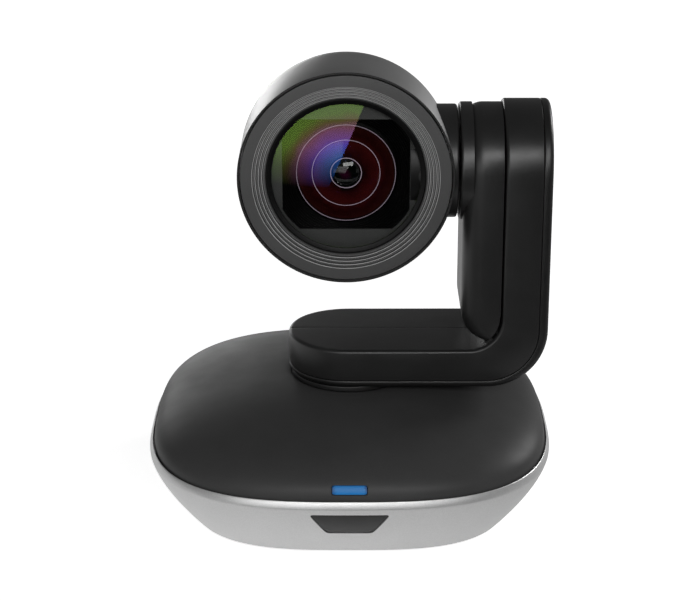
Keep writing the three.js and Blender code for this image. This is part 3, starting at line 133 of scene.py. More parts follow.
class Graph:
    """The node tree of one material."""

    def __init__(self, name: str) -> None:
        """Starts an empty material.

        Args:
            name: The material's name.
        """
        self.material = bpy.data.materials.new(name)
        self.material.use_nodes = True
        self.tree = self.material.node_tree
        self.tree.nodes.clear()

    def node(
        self,
        kind: str,
        settings: dict[str, object] | None = None,
        inputs: dict[object, object] | None = None,
        output: object = 0,
    ) -> Value | None:
        """Adds a node: its settings first, then the values or links of its sockets.

        Args:
            kind: The node's type.
            settings: Its properties. "stops" sets a colour ramp's stops.
            inputs: A number, colour or Value for each socket.
            output: The output to return, or None for a node that has none.

        Returns:
            That output.
        """
        made = self.tree.nodes.new(kind)
        for key, value in (settings or {}).items():
            if key == "stops":
                self.set_stops(made.color_ramp, value)
            else:
                setattr(made, key, value)
        for key, value in (inputs or {}).items():
            if isinstance(value, Value):
                self.tree.links.new(value.socket, made.inputs[key])
            else:
                made.inputs[key].default_value = value
        return None if output is None else Value(self, made.outputs[output])

    @staticmethod
    def set_stops(ramp: bpy.types.ColorRamp, stops: list[tuple[float, Colour]]) -> None:
        """Sets a ramp's stops.

        Args:
            ramp: The ramp.
            stops: Position and colour of each stop.
        """
        while len(ramp.elements) < len(stops):
            ramp.elements.new(1.0)
        for element, (position, colour) in zip(ramp.elements, stops):
            element.position = position
            element.color = (*colour, 1)

    def place(self) -> Value:
        """Position on the object, in metres."""
        return self.node("ShaderNodeTexCoord", output="Object")

    def vectors(self, operation: str, inputs: dict[int, object], output: object = 0) -> Value:
        """Adds one Vector Math node.

        Args:
            operation: The node's operation.
            inputs: Its vectors.
            output: The output to return.

        Returns:
            That output.
        """
        return self.node("ShaderNodeVectorMath", {"operation": operation}, inputs, output)

    def scaled(self, factors: Colour) -> Value:
        """Position with each axis multiplied by its own factor."""
        return self.vectors("MULTIPLY", {0: self.place(), 1: factors})

    def clear(self, colour: Colour) -> Value:
        """A shader that lets light straight through, tinted."""
        return self.node("ShaderNodeBsdfTransparent", {}, {"Color": wide(colour)})

    def glow(self, colour: object, strength: float) -> bpy.types.Material:
        """Ends the graph with a glow.

        Args:
            colour: Its colour.
            strength: Its brightness.

        Returns:
            The material.
        """
        inputs = {"Color": wide(colour), "Strength": strength}
        return self.output(self.node("ShaderNodeEmission", {}, inputs))

    def noise(self, size: float, detail: float = 2.0, where: Value | None = None) -> Value:
        """Cloudy noise.

        Args:
            size: Width of one cloud in metres.
            detail: Number of finer layers.
            where: Position, or the plain one.

        Returns:
            The noise from 0 to 1.
        """
        inputs = {"Vector": where or self.place(), "Scale": 1 / size, "Detail": detail}
        return self.node("ShaderNodeTexNoise", {}, inputs)

    def ramp(self, value: Value, stops: list[tuple[float, Colour]]) -> Value:
        """A colour ramp.

        Args:
            value: Its factor.
            stops: Its stops.

        Returns:
            The colour.
        """
        return self.node("ShaderNodeValToRGB", {"stops": stops}, {0: value})

    def spread(self, value: Value, low: float, high: float) -> Value:
        """Stretches a noise's middle band over a range.

        Args:
            value: The noise.
            low: The new lowest value.
            high: The new highest value.

        Returns:
            The mapped value.
        """
        inputs = {"Value": value, "From Min": 0.3, "From Max": 0.7, "To Min": low, "To Max": high}
        return self.node("ShaderNodeMapRange", {}, inputs)

    def rings(
        self, centre: Vector, radius: float, haze: Value, stops: list[tuple[float, Colour]]
    ) -> Value:
        """Colours that change with the distance from the lens axis.

        Args:
            centre: A point on the lens axis.
            radius: The distance where the colours end.
            haze: What shifts them a little from place to place.
            stops: The colours, at shares of the radius.

        Returns:
            The colour.
        """
        moved = self.vectors("SUBTRACT", {0: self.place(), 1: tuple(centre)})
        flat = self.vectors("MULTIPLY", {0: moved, 1: (1 / radius, 0, 1 / radius)})
        return self.ramp(self.vectors("LENGTH", {0: flat}, "Value") + haze, stops)

    def mix(self, factor: object, first: object, second: object) -> Value:
        """Mixes two colours.

        Args:
            factor: Share of the second colour.
            first: The first colour.
            second: The second colour.

        Returns:
            The mixed colour.
        """
        inputs = {0: factor, 6: wide(first), 7: wide(second)}
        return self.node("ShaderNodeMix", {"data_type": "RGBA"}, inputs, 2)

    def bump(self, height: Value, strength: float, depth: float) -> Value:
        """A bumped normal.

        Args:
            height: The height pattern.
            strength: Its strength.
            depth: Its depth in metres.

        Returns:
            The normal.
        """
        inputs = {"Strength": strength, "Distance": depth, "Height": height}
        return self.node("ShaderNodeBump", {}, inputs)

    def surface(self, inputs: dict[object, object]) -> bpy.types.Material:
        """Ends the graph with one principled shader.

        Args:
            inputs: The shader's sockets.

        Returns:
            The material.
        """
        ready = {key: wide(value) for key, value in inputs.items()}
        return self.output(self.node("ShaderNodeBsdfPrincipled", {}, ready))

    def output(self, shader: Value) -> bpy.types.Material:
        """Links a shader to the material's output.

        Args:
            shader: The shader.

        Returns:
            The material.
        """
        self.node("ShaderNodeOutputMaterial", {}, {"Surface": shader}, None)
        return self.material


def wide(value: object) -> object:
    """A three-part colour with its alpha, and anything else as it is."""
    return (*value, 1) if isinstance(value, tuple) and len(value) == 3 else value


def shade(level: float) -> Colour:
    """A grey from its display level, 0 to 255."""
    return tinted(level, level, level)


def tinted(red: float, green: float, blue: float) -> Colour:
    """A colour from its display levels, 0 to 255."""
    return tuple((part / 255) ** 2.2 for part in (red, green, blue))


def scaled_colour(colour: Colour, factor: float) -> Colour:
    """A colour made lighter or darker."""
    return tuple(part * factor for part in colour)


# ---------------------------------------------------------------- finishes


@dataclass(frozen=True)
class MouldedPlastic:
    """Plastic with a fine spark-eroded grain and faint flow marks."""

    name: str
    colour: Colour
    roughness: float = 0.42
    grain: float = 0.28 * MM
    grain_depth: float = 0.012 * MM
    coat: float = 0.0
    specular: float = 0.5
    flow_mark: float = 22 * MM
    flow_share: float = 0.6
    handling: float = 7 * MM
    swing: float = 0.03
    coat_roughness: float = 0.12

    def material(self) -> bpy.types.Material:
        """Builds the material."""
        graph = Graph(self.name)
        grain = graph.noise(self.grain, 3)
        flow = graph.noise(self.flow_mark, 3)
        handled = graph.noise(self.handling, 4)
        marks = graph.spread(flow, 0, 1) * self.flow_share
        tone = marks + graph.spread(grain, 0, 1) * (1 - self.flow_share)
        dark = scaled_colour(self.colour, 0.86)
        light = scaled_colour(self.colour, 1.16)
        worn = graph.spread(handled, -self.swing, self.swing)
        rough = worn + graph.spread(grain, -self.swing, self.swing) + self.roughness
        return graph.surface(
            {
                "Base Color": graph.mix(tone, dark, light),
                "Roughness": rough,
                "Normal": graph.bump(grain, 0.5, self.grain_depth),
                "Specular IOR Level": self.specular,
                "Coat Weight": self.coat,
                "Coat Roughness": self.coat_roughness,
            }
        )


@dataclass(frozen=True)
class MetallicPaint:
    """Silver paint with fine metal flakes under a satin lacquer."""

    name: str
    colour: Colour
    metallic: float = 0.75
    roughness: float = 0.4
    flake: float = 0.22 * MM
    contrast: float = 0.12
    cloud: float = 14 * MM
    sparkle_share: float = 0.8
    flake_depth: float = 0.01 * MM
    lacquer: float = 0.15

    def material(self) -> bpy.types.Material:
        """Builds the material."""
        graph = Graph(self.name)
        inputs = {"Vector": graph.place(), "Scale": 1 / self.flake}
        cells = graph.node("ShaderNodeTexVoronoi", {}, inputs, "Color")
        sparkle = graph.node("ShaderNodeRGBToBW", {}, {0: cells})
        cloud = graph.spread(graph.noise(self.cloud, 4), 0, 1)
        tone = sparkle * self.sparkle_share + cloud * (1 - self.sparkle_share)
        low = scaled_colour(self.colour, 1 - self.contrast)
        high = scaled_colour(self.colour, 1 + self.contrast * 0.6)
        return graph.surface(
            {
                "Base Color": graph.mix(tone, low, high),
                "Metallic": graph.spread(cloud, self.metallic - 0.04, self.metallic + 0.04),
                "Roughness": sparkle * 0.12 + (self.roughness - 0.06),
                "Normal": graph.bump(sparkle, 0.12, self.flake_depth),
                "Coat Weight": self.lacquer,
                "Coat Roughness": 0.3,
            }
        )


@dataclass(frozen=True)
class TurnedMetal:
    """Metal with fine lines along one direction, from turning, rolling or brushing."""

    name: str
    colour: Colour
    roughness: float = 0.3
    stretch: Colour = (0.04, 1.0, 0.04)
    metallic: float = 1.0
    line: float = 0.12 * MM
    cloud: float = 9 * MM
    line_depth: float = 0.01 * MM

    def material(self) -> bpy.types.Material:
        """Builds the material."""
        graph = Graph(self.name)
        lines = graph.noise(self.line, 3, graph.scaled(self.stretch))
        cloud = graph.noise(self.cloud, 4)
        tone = graph.spread(lines, 0, 0.7) + graph.spread(cloud, 0, 0.3)
        return graph.surface(
            {
                "Base Color": graph.mix(tone, scaled_colour(self.colour, 0.85), self.colour),
                "Metallic": self.metallic,
                "Roughness": graph.spread(lines, self.roughness - 0.05, self.roughness + 0.08),
                "Normal": graph.bump(lines, 0.15, self.line_depth),
            }
        )


@dataclass(frozen=True)
class CircuitBoard:
    """Green solder mask over copper tracks, with bare pads."""

    name: str = "circuit_board_mask"
    mask: Colour = (0.010, 0.085, 0.035)
    pitch: float = 1.1 * MM
    pad_radius: float = 0.22
    pad_colour: Colour = (0.55, 0.42, 0.18)
    copper_depth: float = 0.03 * MM

    def material(self) -> bpy.types.Material:
        """Builds the material."""
        graph = Graph(self.name)
        settings = {"distance": "CHEBYCHEV", "feature": "F1"}
        inputs = {"Vector": graph.place(), "Scale": 1 / (3 * self.pitch), "Randomness": 0.9}
        tracks = graph.node("ShaderNodeTexVoronoi", settings, inputs, "Distance")
        inputs = {"Vector": graph.place(), "Scale": 1 / self.pitch}
        pads = graph.node("ShaderNodeTexVoronoi", {}, inputs)
        pad = 1 - pads.above(self.pad_radius)
        track = (tracks * 9).maths("PINGPONG", tracks * 9, 0.5).above(0.3)
        board = graph.mix(track, self.mask, scaled_colour(self.mask, 1.7))
        return graph.surface(
            {
                "Base Color": graph.mix(pad, board, self.pad_colour),
                "Metallic": pad * 0.9,
                "Roughness": 0.42 - track * 0.1,
                "Normal": graph.bump(track, 0.3, self.copper_depth),
            }
        )


@dataclass(frozen=True)
class SoftRubber:
    """Matt rubber with a dusty bloom and a fine pebble."""

    name: str = "foot_rubber"
    colour: Colour = (0.012, 0.012, 0.012)
    dusty: Colour = (0.05, 0.05, 0.05)
    pebble: float = 0.5 * MM
    bloom: float = 4 * MM
    pebble_depth: float = 0.04 * MM

    def material(self) -> bpy.types.Material:
        """Builds the material."""
        graph = Graph(self.name)
        pebble = graph.noise(self.pebble, 2)
        bloom = graph.spread(graph.noise(self.bloom, 4), 0, 1)
        return graph.surface(
            {
                "Base Color": graph.mix(bloom * 0.4, self.colour, self.dusty),
                "Roughness": 0.78 + bloom * 0.15,
                "Normal": graph.bump(pebble, 0.5, self.pebble_depth),
            }
        )


@dataclass(frozen=True)
class LampLens:
    """A faintly glowing piece, brightest in its middle."""

    name: str = "status_blue"
    deep: Colour = (0.002, 0.05, 0.17)
    bright: Colour = (0.006, 0.15, 0.42)
    half_width: float = 5.3 * MM
    glow: float = 0.16

    def material(self) -> bpy.types.Material:
        """Builds the material."""
        graph = Graph(self.name)
        across = graph.node("ShaderNodeSeparateXYZ", {}, {0: graph.place()})
        far = across.maths("ABSOLUTE", across, 0) / self.half_width
        cloud = graph.spread(graph.noise(1.2 * MM, 3), -0.1, 0.1)
        tint = graph.ramp(far + cloud, [(0.0, self.bright), (0.75, self.bright), (1.0, self.deep)])
        return graph.surface(
            {
                "Base Color": tint,
                "Emission Color": tint,
                "Emission Strength": self.glow,
                "Roughness": graph.spread(cloud, 0.34, 0.42),
                "Specular IOR Level": 0.15,
            }
        )


@dataclass(frozen=True)
class CoatedGlass:
    """Clear glass whose anti-reflection coating changes colour from rim to middle."""

    name: str = "coated_front_glass"
    radius: float = 24.5 * MM
    reflect: float = 0.32
    edge_reflect: float = 0.3
    haze: float = 5 * MM
    wipe: float = 3 * MM
    body: Colour = (0.95, 0.95, 0.95)

    def material(self, centre: Vector) -> bpy.types.Material:
        """Builds the material.

        Args:
            centre: A point on the lens axis.

        Returns:
            The material.
        """
        graph = Graph(self.name)
        haze = graph.spread(graph.noise(self.haze, 3), -0.02, 0.02)
        stops = [
            (0.10, tinted(40, 96, 176)),
            (0.30, tinted(44, 98, 190)),
            (0.42, tinted(84, 78, 190)),
            (0.53, tinted(124, 84, 150)),
            (0.64, tinted(128, 84, 108)),
            (0.74, tinted(104, 92, 60)),
            (0.84, tinted(96, 122, 52)),
            (1.00, tinted(88, 120, 56)),
        ]
        inputs = {"Base Color": graph.rings(centre, self.radius, haze, stops), "Metallic": 1.0}
        inputs["Roughness"] = graph.spread(graph.noise(self.wipe, 3), 0.015, 0.03)
        mirror = graph.node("ShaderNodeBsdfPrincipled", {}, inputs)
        share = graph.node("ShaderNodeLayerWeight", {}, {"Blend": 0.2}, "Fresnel")
        factor = share * self.edge_reflect + self.reflect
        inputs = {0: factor, 1: graph.clear(self.body), 2: mirror}
        return graph.output(graph.node("ShaderNodeMixShader", {}, inputs))

    @staticmethod
    def uncoated() -> bpy.types.Material:
        """The glass of the sides and the back."""
        graph = Graph("uncoated_glass")
        return graph.output(graph.clear((0.97, 0.98, 0.97)))


@dataclass(frozen=True)
class InnerElements:
    """The dark elements behind the front one, which glow faintly in their own tints as painted
    light.
    """

    name: str = "inner_elements_painted_glow"
    outer: float = 15.3 * MM
    # Strength of the painted glow that stands in for light inside the barrel.
    glow: float = 0.4
    haze: float = 4 * MM

    def material(self, centre: Vector) -> bpy.types.Material:
        """Builds the material.

        Args:
            centre: A point on the lens axis.

        Returns:
            The material.
        """
        graph = Graph(self.name)
        haze = graph.spread(graph.noise(self.haze, 3), -0.05, 0.05)
        stops = [
            (0.00, tinted(46, 14, 34)),
            (0.14, tinted(12, 16, 14)),
            (0.30, tinted(10, 12, 12)),
            (0.40, tinted(40, 14, 16)),
            (0.62, tinted(58, 20, 20)),
            (0.80, tinted(34, 12, 12)),
            (1.00, tinted(44, 20, 18)),
        ]
        tint = graph.rings(centre, self.outer, haze, stops)
        return graph.surface(
            {
                "Base Color": tint,
                # The tint glows as well: painted light, since no lamp lights the elements.
                "Emission Color": tint,
                "Emission Strength": self.glow,
                "Roughness": graph.spread(haze, 0.05, 0.1),
                "Coat Weight": 1.0,
            }
        )


CHARCOAL = MouldedPlastic("charcoal_satin", shade(63), 0.46, specular=0.15)
ARM_BLACK = MouldedPlastic("arm_satin_black", shade(36), 0.34, specular=0.4)
COVER_BLACK = MouldedPlastic("outer_cover_black", shade(24), 0.38)
COLLAR_BLACK = MouldedPlastic("collar_black", shade(22), 0.45)
CAP_CHARCOAL = MouldedPlastic("rear_cap_charcoal", shade(40), 0.42)
FACEPLATE = MouldedPlastic("faceplate_grey", shade(66), 0.5, specular=0.35)
LENS_BLACK = MouldedPlastic(
    "lens_matt_black", shade(9), 0.4, grain_depth=0.0006 * MM, specular=0.15
)
# Light grey on the slanted step edges: a painted highlight for the light they catch.
STEP_EDGE_PAINTED_HIGHLIGHT = MouldedPlastic("bezel_step_painted_highlight", shade(170), 0.5, specular=0.3)
# Dark grey on the barrel's front lip: painted shade for the gap where the face meets the barrel.
LIP_PAINTED_SHADE = MouldedPlastic("barrel_lip_painted_shade", shade(40), 0.5, specular=0.2)
# The baffle's grey is partly its own dark plastic and partly a painted reflection on its front.
BAFFLE_DARK_WITH_PAINTED_REFLECTION = MouldedPlastic("baffle_dark_with_painted_reflection", shade(84), 0.6, grain_depth=0.001 * MM)
PORT_BLACK = MouldedPlastic("port_tray_black", shade(26), 0.5)
RESIN = MouldedPlastic("gear_resin", shade(226), 0.45)
FLEX = MouldedPlastic("flex_circuit", tinted(168, 101, 42), 0.4)
WINDOW_BLACK = MouldedPlastic(
    "infrared_filter", shade(9), 0.16, grain_depth=0.002 * MM, coat=0.2, specular=0.4
)
SILVER = MetallicPaint("silver_flake_paint", shade(208))
GUNMETAL = MetallicPaint("barrel_gunmetal", shade(160), 0.9, 0.42, 0.18 * MM, 0.1)
STEEL = TurnedMetal("rolled_steel", shade(190), 0.32)
# The element rims glow pale lilac as a painted highlight, for the light their edges catch.
ELEMENT_RIM_PAINTED_HIGHLIGHT = LampLens("element_rim_painted_highlight", tinted(150, 140, 150), tinted(176, 160, 176), 20 * MM, 0.4)
BRASS = TurnedMetal("turned_brass", tinted(206, 168, 92), 0.3)


# ---------------------------------------------------------------- shapes


def soft_corners(
    points: list[tuple[float, ...]], steps: int = 4, loop: bool = True
) -> list[Point2]:
    """Rounds the corners of an outline.

    Args:
        points: Corners as (u, v) or (u, v, radius).
        steps: Segments of each rounded corner.
        loop: Whether the last corner joins the first.

    Returns:
        The points of the rounded outline.
    """
    made: list[Point2] = []
    count = len(points)
    for i, point in enumerate(points):
        corner = Vector(point[:2])
        radius = point[2] if len(point) > 2 else 0.0
        if radius <= 0 or (not loop and i in (0, count - 1)):
            made.append(tuple(corner))
            continue
        back = Vector(points[i - 1][:2]) - corner
        ahead = Vector(points[(i + 1) % count][:2]) - corner
        half = back.angle(ahead) / 2
        reach = min(radius / math.tan(half), back.length * 0.49, ahead.length * 0.49)
        start = corner + back.normalized() * reach
        end = corner + ahead.normalized() * reach
        for k in range(steps + 1):
            t = k / steps
            made.append(tuple(start * (1 - t) ** 2 + corner * 2 * t * (1 - t) + end * t * t))
    return made


def spread_steps(count: int) -> list[float]:
    """Evenly spaced numbers from 0 to 1."""
    return [i / count for i in range(count + 1)]


def blend(low: float, high: float, share: float) -> float:
    """A number between two others."""
    return low + (high - low) * share


def mesh_piece(
    name: str, vertices: list[Vector], faces: list[tuple[int, ...]], crease: float = 32
) -> bpy.types.Object:
    """A smooth-shaded piece from its points and faces.

    Args:
        name: The piece's name.
        vertices: Its points, in metres.
        faces: Its faces.
        crease: Edges sharper than this many degrees stay sharp.

    Returns:
        The new object.
    """
    mesh = bpy.data.meshes.new(name)
    mesh.from_pydata([tuple(v) for v in vertices], [], faces)
    work = bmesh.new()
    work.from_mesh(mesh)
    bmesh.ops.remove_doubles(work, verts=work.verts, dist=2e-6)
    bmesh.ops.dissolve_degenerate(work, dist=1e-6, edges=work.edges)
    bmesh.ops.recalc_face_normals(work, faces=work.faces)
    work.to_mesh(mesh)
    work.free()
    made = bpy.data.objects.new(name, mesh)
    bpy.context.scene.collection.objects.link(made)
    smooth(made, crease)
    return made


def smooth(made: bpy.types.Object, crease: float = 32) -> None:
    """Smooth shading with sharp creases.

    Args:
        made: The piece.
        crease: The crease angle in degrees.
    """
    for face in made.data.polygons:
        face.use_smooth = True
    made.data.set_sharp_from_angle(angle=math.radians(crease))


def skin(
    name: str, rings: list[list[Vector]], loop: bool = False, crease: float = 32
) -> bpy.types.Object:
    """A piece stretched over closed rings of equal count.

    Args:
        name: The piece's name.
        rings: The rings, in order.
        loop: Whether the last ring joins the first. Otherwise both ends are capped.
        crease: The crease angle in degrees.

    Returns:
        The new object.
    """
    count = len(rings[0])
    vertices = [point for ring in rings for point in ring]
    faces = []
    pairs = len(rings) if loop else len(rings) - 1
    for i in range(pairs):
        a, b = i * count, ((i + 1) % len(rings)) * count
        for k in range(count):
            n = (k + 1) % count
            faces.append((a + k, a + n, b + n, b + k))
    if not loop:
        faces.append(tuple(reversed(range(count))))
        faces.append(tuple(range((len(rings) - 1) * count, len(rings) * count)))
    return mesh_piece(name, vertices, faces, crease)


class Lathe:
    """Turns profiles about the pan, lens or tilt axis."""

    def __init__(self, axis: Axis, centre: Vector, segments: int = 128) -> None:
        """Sets up the lathe.

        Args:
            axis: The axis.
            centre: A point on it.
            segments: Facets round a turn.
        """
        self.axis = axis
        self.centre = centre
        self.segments = segments

    def point(self, radius: float, along: float, turn: float) -> Vector:
        """One point of a turned piece.

        Args:
            radius: Distance from the axis.
            along: Coordinate along the axis.
            turn: Angle round the axis.

        Returns:
            The point.
        """
        u, v = radius * math.cos(turn), radius * math.sin(turn)
        if self.axis is Axis.PAN:
            return Vector((self.centre.x + u, self.centre.y + v, along))
        if self.axis is Axis.LENS:
            return Vector((self.centre.x + u, along, self.centre.z + v))
        return Vector((along, self.centre.y + u, self.centre.z + v))

    def turn(
        self, name: str, profile: list[Point2], loop: bool = True, crease: float = 32
    ) -> bpy.types.Object:
        """Turns a profile of (radius, along) points, in metres.

        Args:
            name: The piece's name.
            profile: The profile.
            loop: Whether it closes on itself, as a ring's does.
            crease: The crease angle in degrees.

        Returns:
            The new object.
        """
        vertices: list[Vector] = []
        rows: list[list[int]] = []
        for radius, along in profile:
            count = 1 if radius < 1e-7 else self.segments
            rows.append([len(vertices) + k for k in range(count)])
            for k in range(count):
                vertices.append(self.point(radius, along, 2 * math.pi * k / self.segments))
        faces: list[tuple[int, ...]] = []
        for i in range(len(rows) if loop else len(rows) - 1):
            a, b = rows[i], rows[(i + 1) % len(rows)]
            for k in range(self.segments):
                n = (k + 1) % self.segments
                corners = (a[k % len(a)], a[n % len(a)], b[n % len(b)], b[k % len(b)])
                face = tuple(dict.fromkeys(corners))
                if len(face) > 2:
                    faces.append(face)
        return mesh_piece(name, vertices, faces, crease)


def prism(
    name: str, outline: list[Point2], low: float, high: float, along: Axis
) -> bpy.types.Object:
    """An outline stretched along the direction of an axis.

    Args:
        name: The piece's name.
        outline: Its outline, in metres: (x, y) for PAN, (x, z) for LENS, (y, z) for TILT.
        low: Start along the axis.
        high: End along the axis.
        along: The axis.

    Returns:
        The new object.
    """
    place = {
        Axis.PAN: lambda u, v, w: Vector((u, v, w)),
        Axis.LENS: lambda u, v, w: Vector((u, w, v)),
        Axis.TILT: lambda u, v, w: Vector((w, u, v)),
    }[along]
    return skin(name, [[place(u, v, w) for u, v in outline] for w in (low, high)])


def carve(target: bpy.types.Object, cutters: list[bpy.types.Object]) -> None:
    """Cuts solids out of a piece, and removes them.

    Args:
        target: The piece.
        cutters: The solids.
    """
    for cutter in cutters:
        cut = target.modifiers.new("cut", "BOOLEAN")
        cut.operation = "DIFFERENCE"
        cut.solver = "EXACT"
        cut.object = cutter
    made = target.evaluated_get(bpy.context.evaluated_depsgraph_get())
    fresh = bpy.data.meshes.new_from_object(made)
    target.modifiers.clear()
    target.data = fresh
    for cutter in cutters:
        bpy.data.objects.remove(cutter)
    smooth(target)


def rectangle(low: Point2, high: Point2, radius: float) -> list[Point2]:
    """A rounded rectangle from its opposite corners."""
    (a, b), (c, d) = low, high
    return soft_corners([(a, b, radius), (c, b, radius), (c, d, radius), (a, d, radius)])


def dress(
    made: bpy.types.Object,
    materials: list[bpy.types.Material],
    body: Body,
    slot: str,
    *nodes: str,
) -> None:
    """Gives a piece its finishes, its body and the CAD nodes it stands for.

    Args:
        made: The piece.
        materials: Its materials, the main one first.
        body: The body it rides on.
        slot: The record's material slot; not used.
        *nodes: The CAD nodes.
    """
    for material in materials:
        made.data.materials.append(material)
    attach(made, body.value)
    if nodes:
        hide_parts(*nodes)
    LOG.info("%s rides on %s", made.name, body.value)


def second_finish(
    made: bpy.types.Object, chosen: Callable[[bpy.types.MeshPolygon], bool]
) -> bpy.types.Object:
    """Gives chosen faces a piece's second finish.

    Args:
        made: The piece.
        chosen: Whether a face takes the second finish.

    Returns:
        The same piece.
    """
    for face in made.data.polygons:
        face.material_index = int(chosen(face))
    return made


# ---------------------------------------------------------------- rounded-square plan


@dataclass(frozen=True)
class Outline:
    """A rounded-square ring of the base."""

    half_width: float
    half_depth: float
    power: float
    height: float

    def reach(self, angle: float) -> float:
        """Distance from the middle to the ring at an angle."""
        across = abs(math.cos(angle)) / self.half_width
        along = abs(math.sin(angle)) / self.half_depth
        return (across**self.power + along**self.power) ** (-1 / self.power)

    def inset(self, by: float, height: float | None = None) -> "Outline":
        """The ring drawn in by a distance, at its own height or another."""
        level = self.height if height is None else height
        return Outline(self.half_width - by, self.half_depth - by, self.power, level)

    def points(self, count: int) -> list[Vector]:
        """Points round the ring."""
        made = []
        for k in range(count):
            angle = 2 * math.pi * k / count
            reach = self.reach(angle)
            made.append(Vector((reach * math.cos(angle), reach * math.sin(angle), self.height)))
        return made


@dataclass
class BaseUnit:
    """Silver lower shell under a dark domed cover, with its light, window, ports and underside."""

    facets: int = 240
    wall: float = 2.0 * MM
    lip_height: float = 2.2 * MM
    lip_inset: float = 1.0 * MM
    rim_power: float = 2.9
    floor_power: float = 3.1
    floor_inset: float = 13.3 * MM
    bulge: float = 1.33
    dome_rise: float = 17.3 * MM
    roundness: float = 2.04
    shoulder: float = 0.44
    edge_gap: float = 0.55 * MM
    seat_drop: float = 1.3 * MM
    recess_gap: float = 0.3 * MM
    shaft_hole: float = 9.4 * MM
    window_foot: float = 6.75 * MM
    window_gap: float = 0.28 * MM
    port_gap: float = 0.25 * MM
    light_gap: float = 0.22 * MM
    thread_pitch: float = 0.6 * MM
    thread_turns: int = 10

    def __post_init__(self) -> None:
        """Takes the places from the frame."""
        low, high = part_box("base_lower_shell")
        self.half_width = (high.x - low.x) / 2
        self.half_depth = (high.y - low.y) / 2
        self.floor_z = low.z
        self.edge_z = high.z
        self.rim_z = high.z - self.lip_height
        self.seat_z = self.edge_z + self.dome_rise - self.seat_drop
        self.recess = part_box("pan_turntable")[1].x + self.recess_gap

    def shell_ring(self, share: float) -> Outline:
        """The shell's outer ring at a share of the way from rim to floor."""
        taper = share**self.bulge
        return Outline(
            self.half_width - self.floor_inset * taper,
            self.half_depth - self.floor_inset * taper,
            blend(self.rim_power, self.floor_power, taper),
            blend(self.rim_z, self.floor_z, share),
        )

    def cover_height(self, share: float) -> float:
        """Height of the cover at a share of the way out to its edge."""
        return self.edge_z + self.dome_rise * (1 - share**self.roundness) ** self.shoulder

    def cover_ring(self, share: float, inward: float = 0.0) -> Outline:
        """The cover's ring at a share of the way out to its edge."""
        inset = self.lip_inset + self.edge_gap
        return Outline(
            (self.half_width - inset) * share - inward,
            (self.half_depth - inset) * share - inward,
            blend(2, self.rim_power, math.sqrt(share)),
            self.cover_height(share) - inward,
        )

    def recess_share(self, angle: float) -> float:
        """Share of the way out where the round recess meets the cover."""
        low, high = 0.05, 0.9
        for _ in range(30):
            middle = (low + high) / 2
            if self.cover_ring(middle).reach(angle) < self.recess + 0.4 * MM:
                low = middle
            else:
                high = middle
        return high

    def lower_shell(self) -> bpy.types.Object:
        """The silver shell, with its window and port openings."""
        top = self.shell_ring(0)
        rings = [self.shell_ring(1).inset(0.5 * MM), self.shell_ring(0.985)]
        rings += [self.shell_ring(share) for share in reversed(spread_steps(26)[1:-1])]
        rings += [self.shell_ring(0.012), top.inset(0.03 * MM, self.rim_z + 0.25 * MM)]
        lip = [(0.78, 1.95), (0.86, 2.12), (0.97, 2.2), (1.08, 2.12), (1.12, 1.9), (1.15, -0.1)]
        rings += [top.inset(by * MM, self.rim_z + up * MM) for by, up in lip]
        inner = top.inset(self.wall + 0.4 * MM, self.rim_z - 0.1 * MM)
        rings += [inner]
        rings += [self.shell_ring(share).inset(self.wall) for share in (0.3, 0.6, 0.85, 1)]
        made = skin("silver_shell", [ring.points(self.facets) for ring in rings], True, 40)
        carve(made, [self.window_block(self.window_gap), self.port_block(self.port_gap)])
        return made

    def window_block(self, by: float) -> bpy.types.Object:
        """The window's tapered outline as a block through the front wall, widened all round."""
        low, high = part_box("infrared_window")
        top, foot = high.x + by, self.window_foot + by
        upper, lower = (high.z + by, 0.7 * MM), (low.z - by, 2.2 * MM)
        corners = [(-top, *upper), (-foot, *lower), (foot, *lower), (top, *upper)]
        outline = soft_corners(corners, 6)
        return prism("window_block", outline, -self.half_depth - 5 * MM, low.y + 8 * MM, Axis.LENS)

    def port_block(self, by: float) -> bpy.types.Object:
        """The port recess as a block through the rear wall."""
        low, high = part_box("rear_port_panel")
        outline = rectangle((low.x - by, low.z - by), (high.x + by, high.z + by), 1.4 * MM)
        return prism("port_block", outline, low.y, self.half_depth + 5 * MM, Axis.LENS)

    @staticmethod
    def follow(ring: Outline, half: float, z: float, sink: float, columns: int) -> list[Vector]:
        """A row of points across the front of a ring, a little under its surface.

        Args:
            ring: The ring.
            half: Half the row's width.
            z: The row's height.
            sink: How far under the surface.
            columns: Steps across.

        Returns:
            The points.
        """
        row = []
        for k in range(columns + 1):
            x = blend(-half, half, k / columns)
            rest = max(0.0, 1 - (abs(x) / ring.half_width) ** ring.power)
            row.append(Vector((x, sink - ring.half_depth * rest ** (1 / ring.power), z)))
        return row

    def window(self) -> bpy.types.Object:
        """The glossy filter, which follows the shell's face and sits a little under it."""
        low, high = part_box("infrared_window")
        front = []
        for t in spread_steps(24):
            z = blend(low.z, high.z, t)
            ring = self.shell_ring((self.rim_z - z) / (self.rim_z - self.floor_z))
            half = blend(self.window_foot, high.x, t) - self.corner_trim(z - low.z, 2.0 * MM)
            half -= self.corner_trim(high.z - z, 0.5 * MM) * 0.6
            front.append(self.follow(ring, half, z, 0.12 * MM, 48))
        return self.slab("infrared_window_filter", front, Vector((0, 1.2 * MM, 0)))

    @staticmethod
    def corner_trim(height: float, radius: float) -> float:
        """How far a rounded corner draws an edge in at a height above it."""
        if height >= radius:
            return 0.0
        return radius - math.sqrt(max(0.0, radius**2 - (radius - height) ** 2))

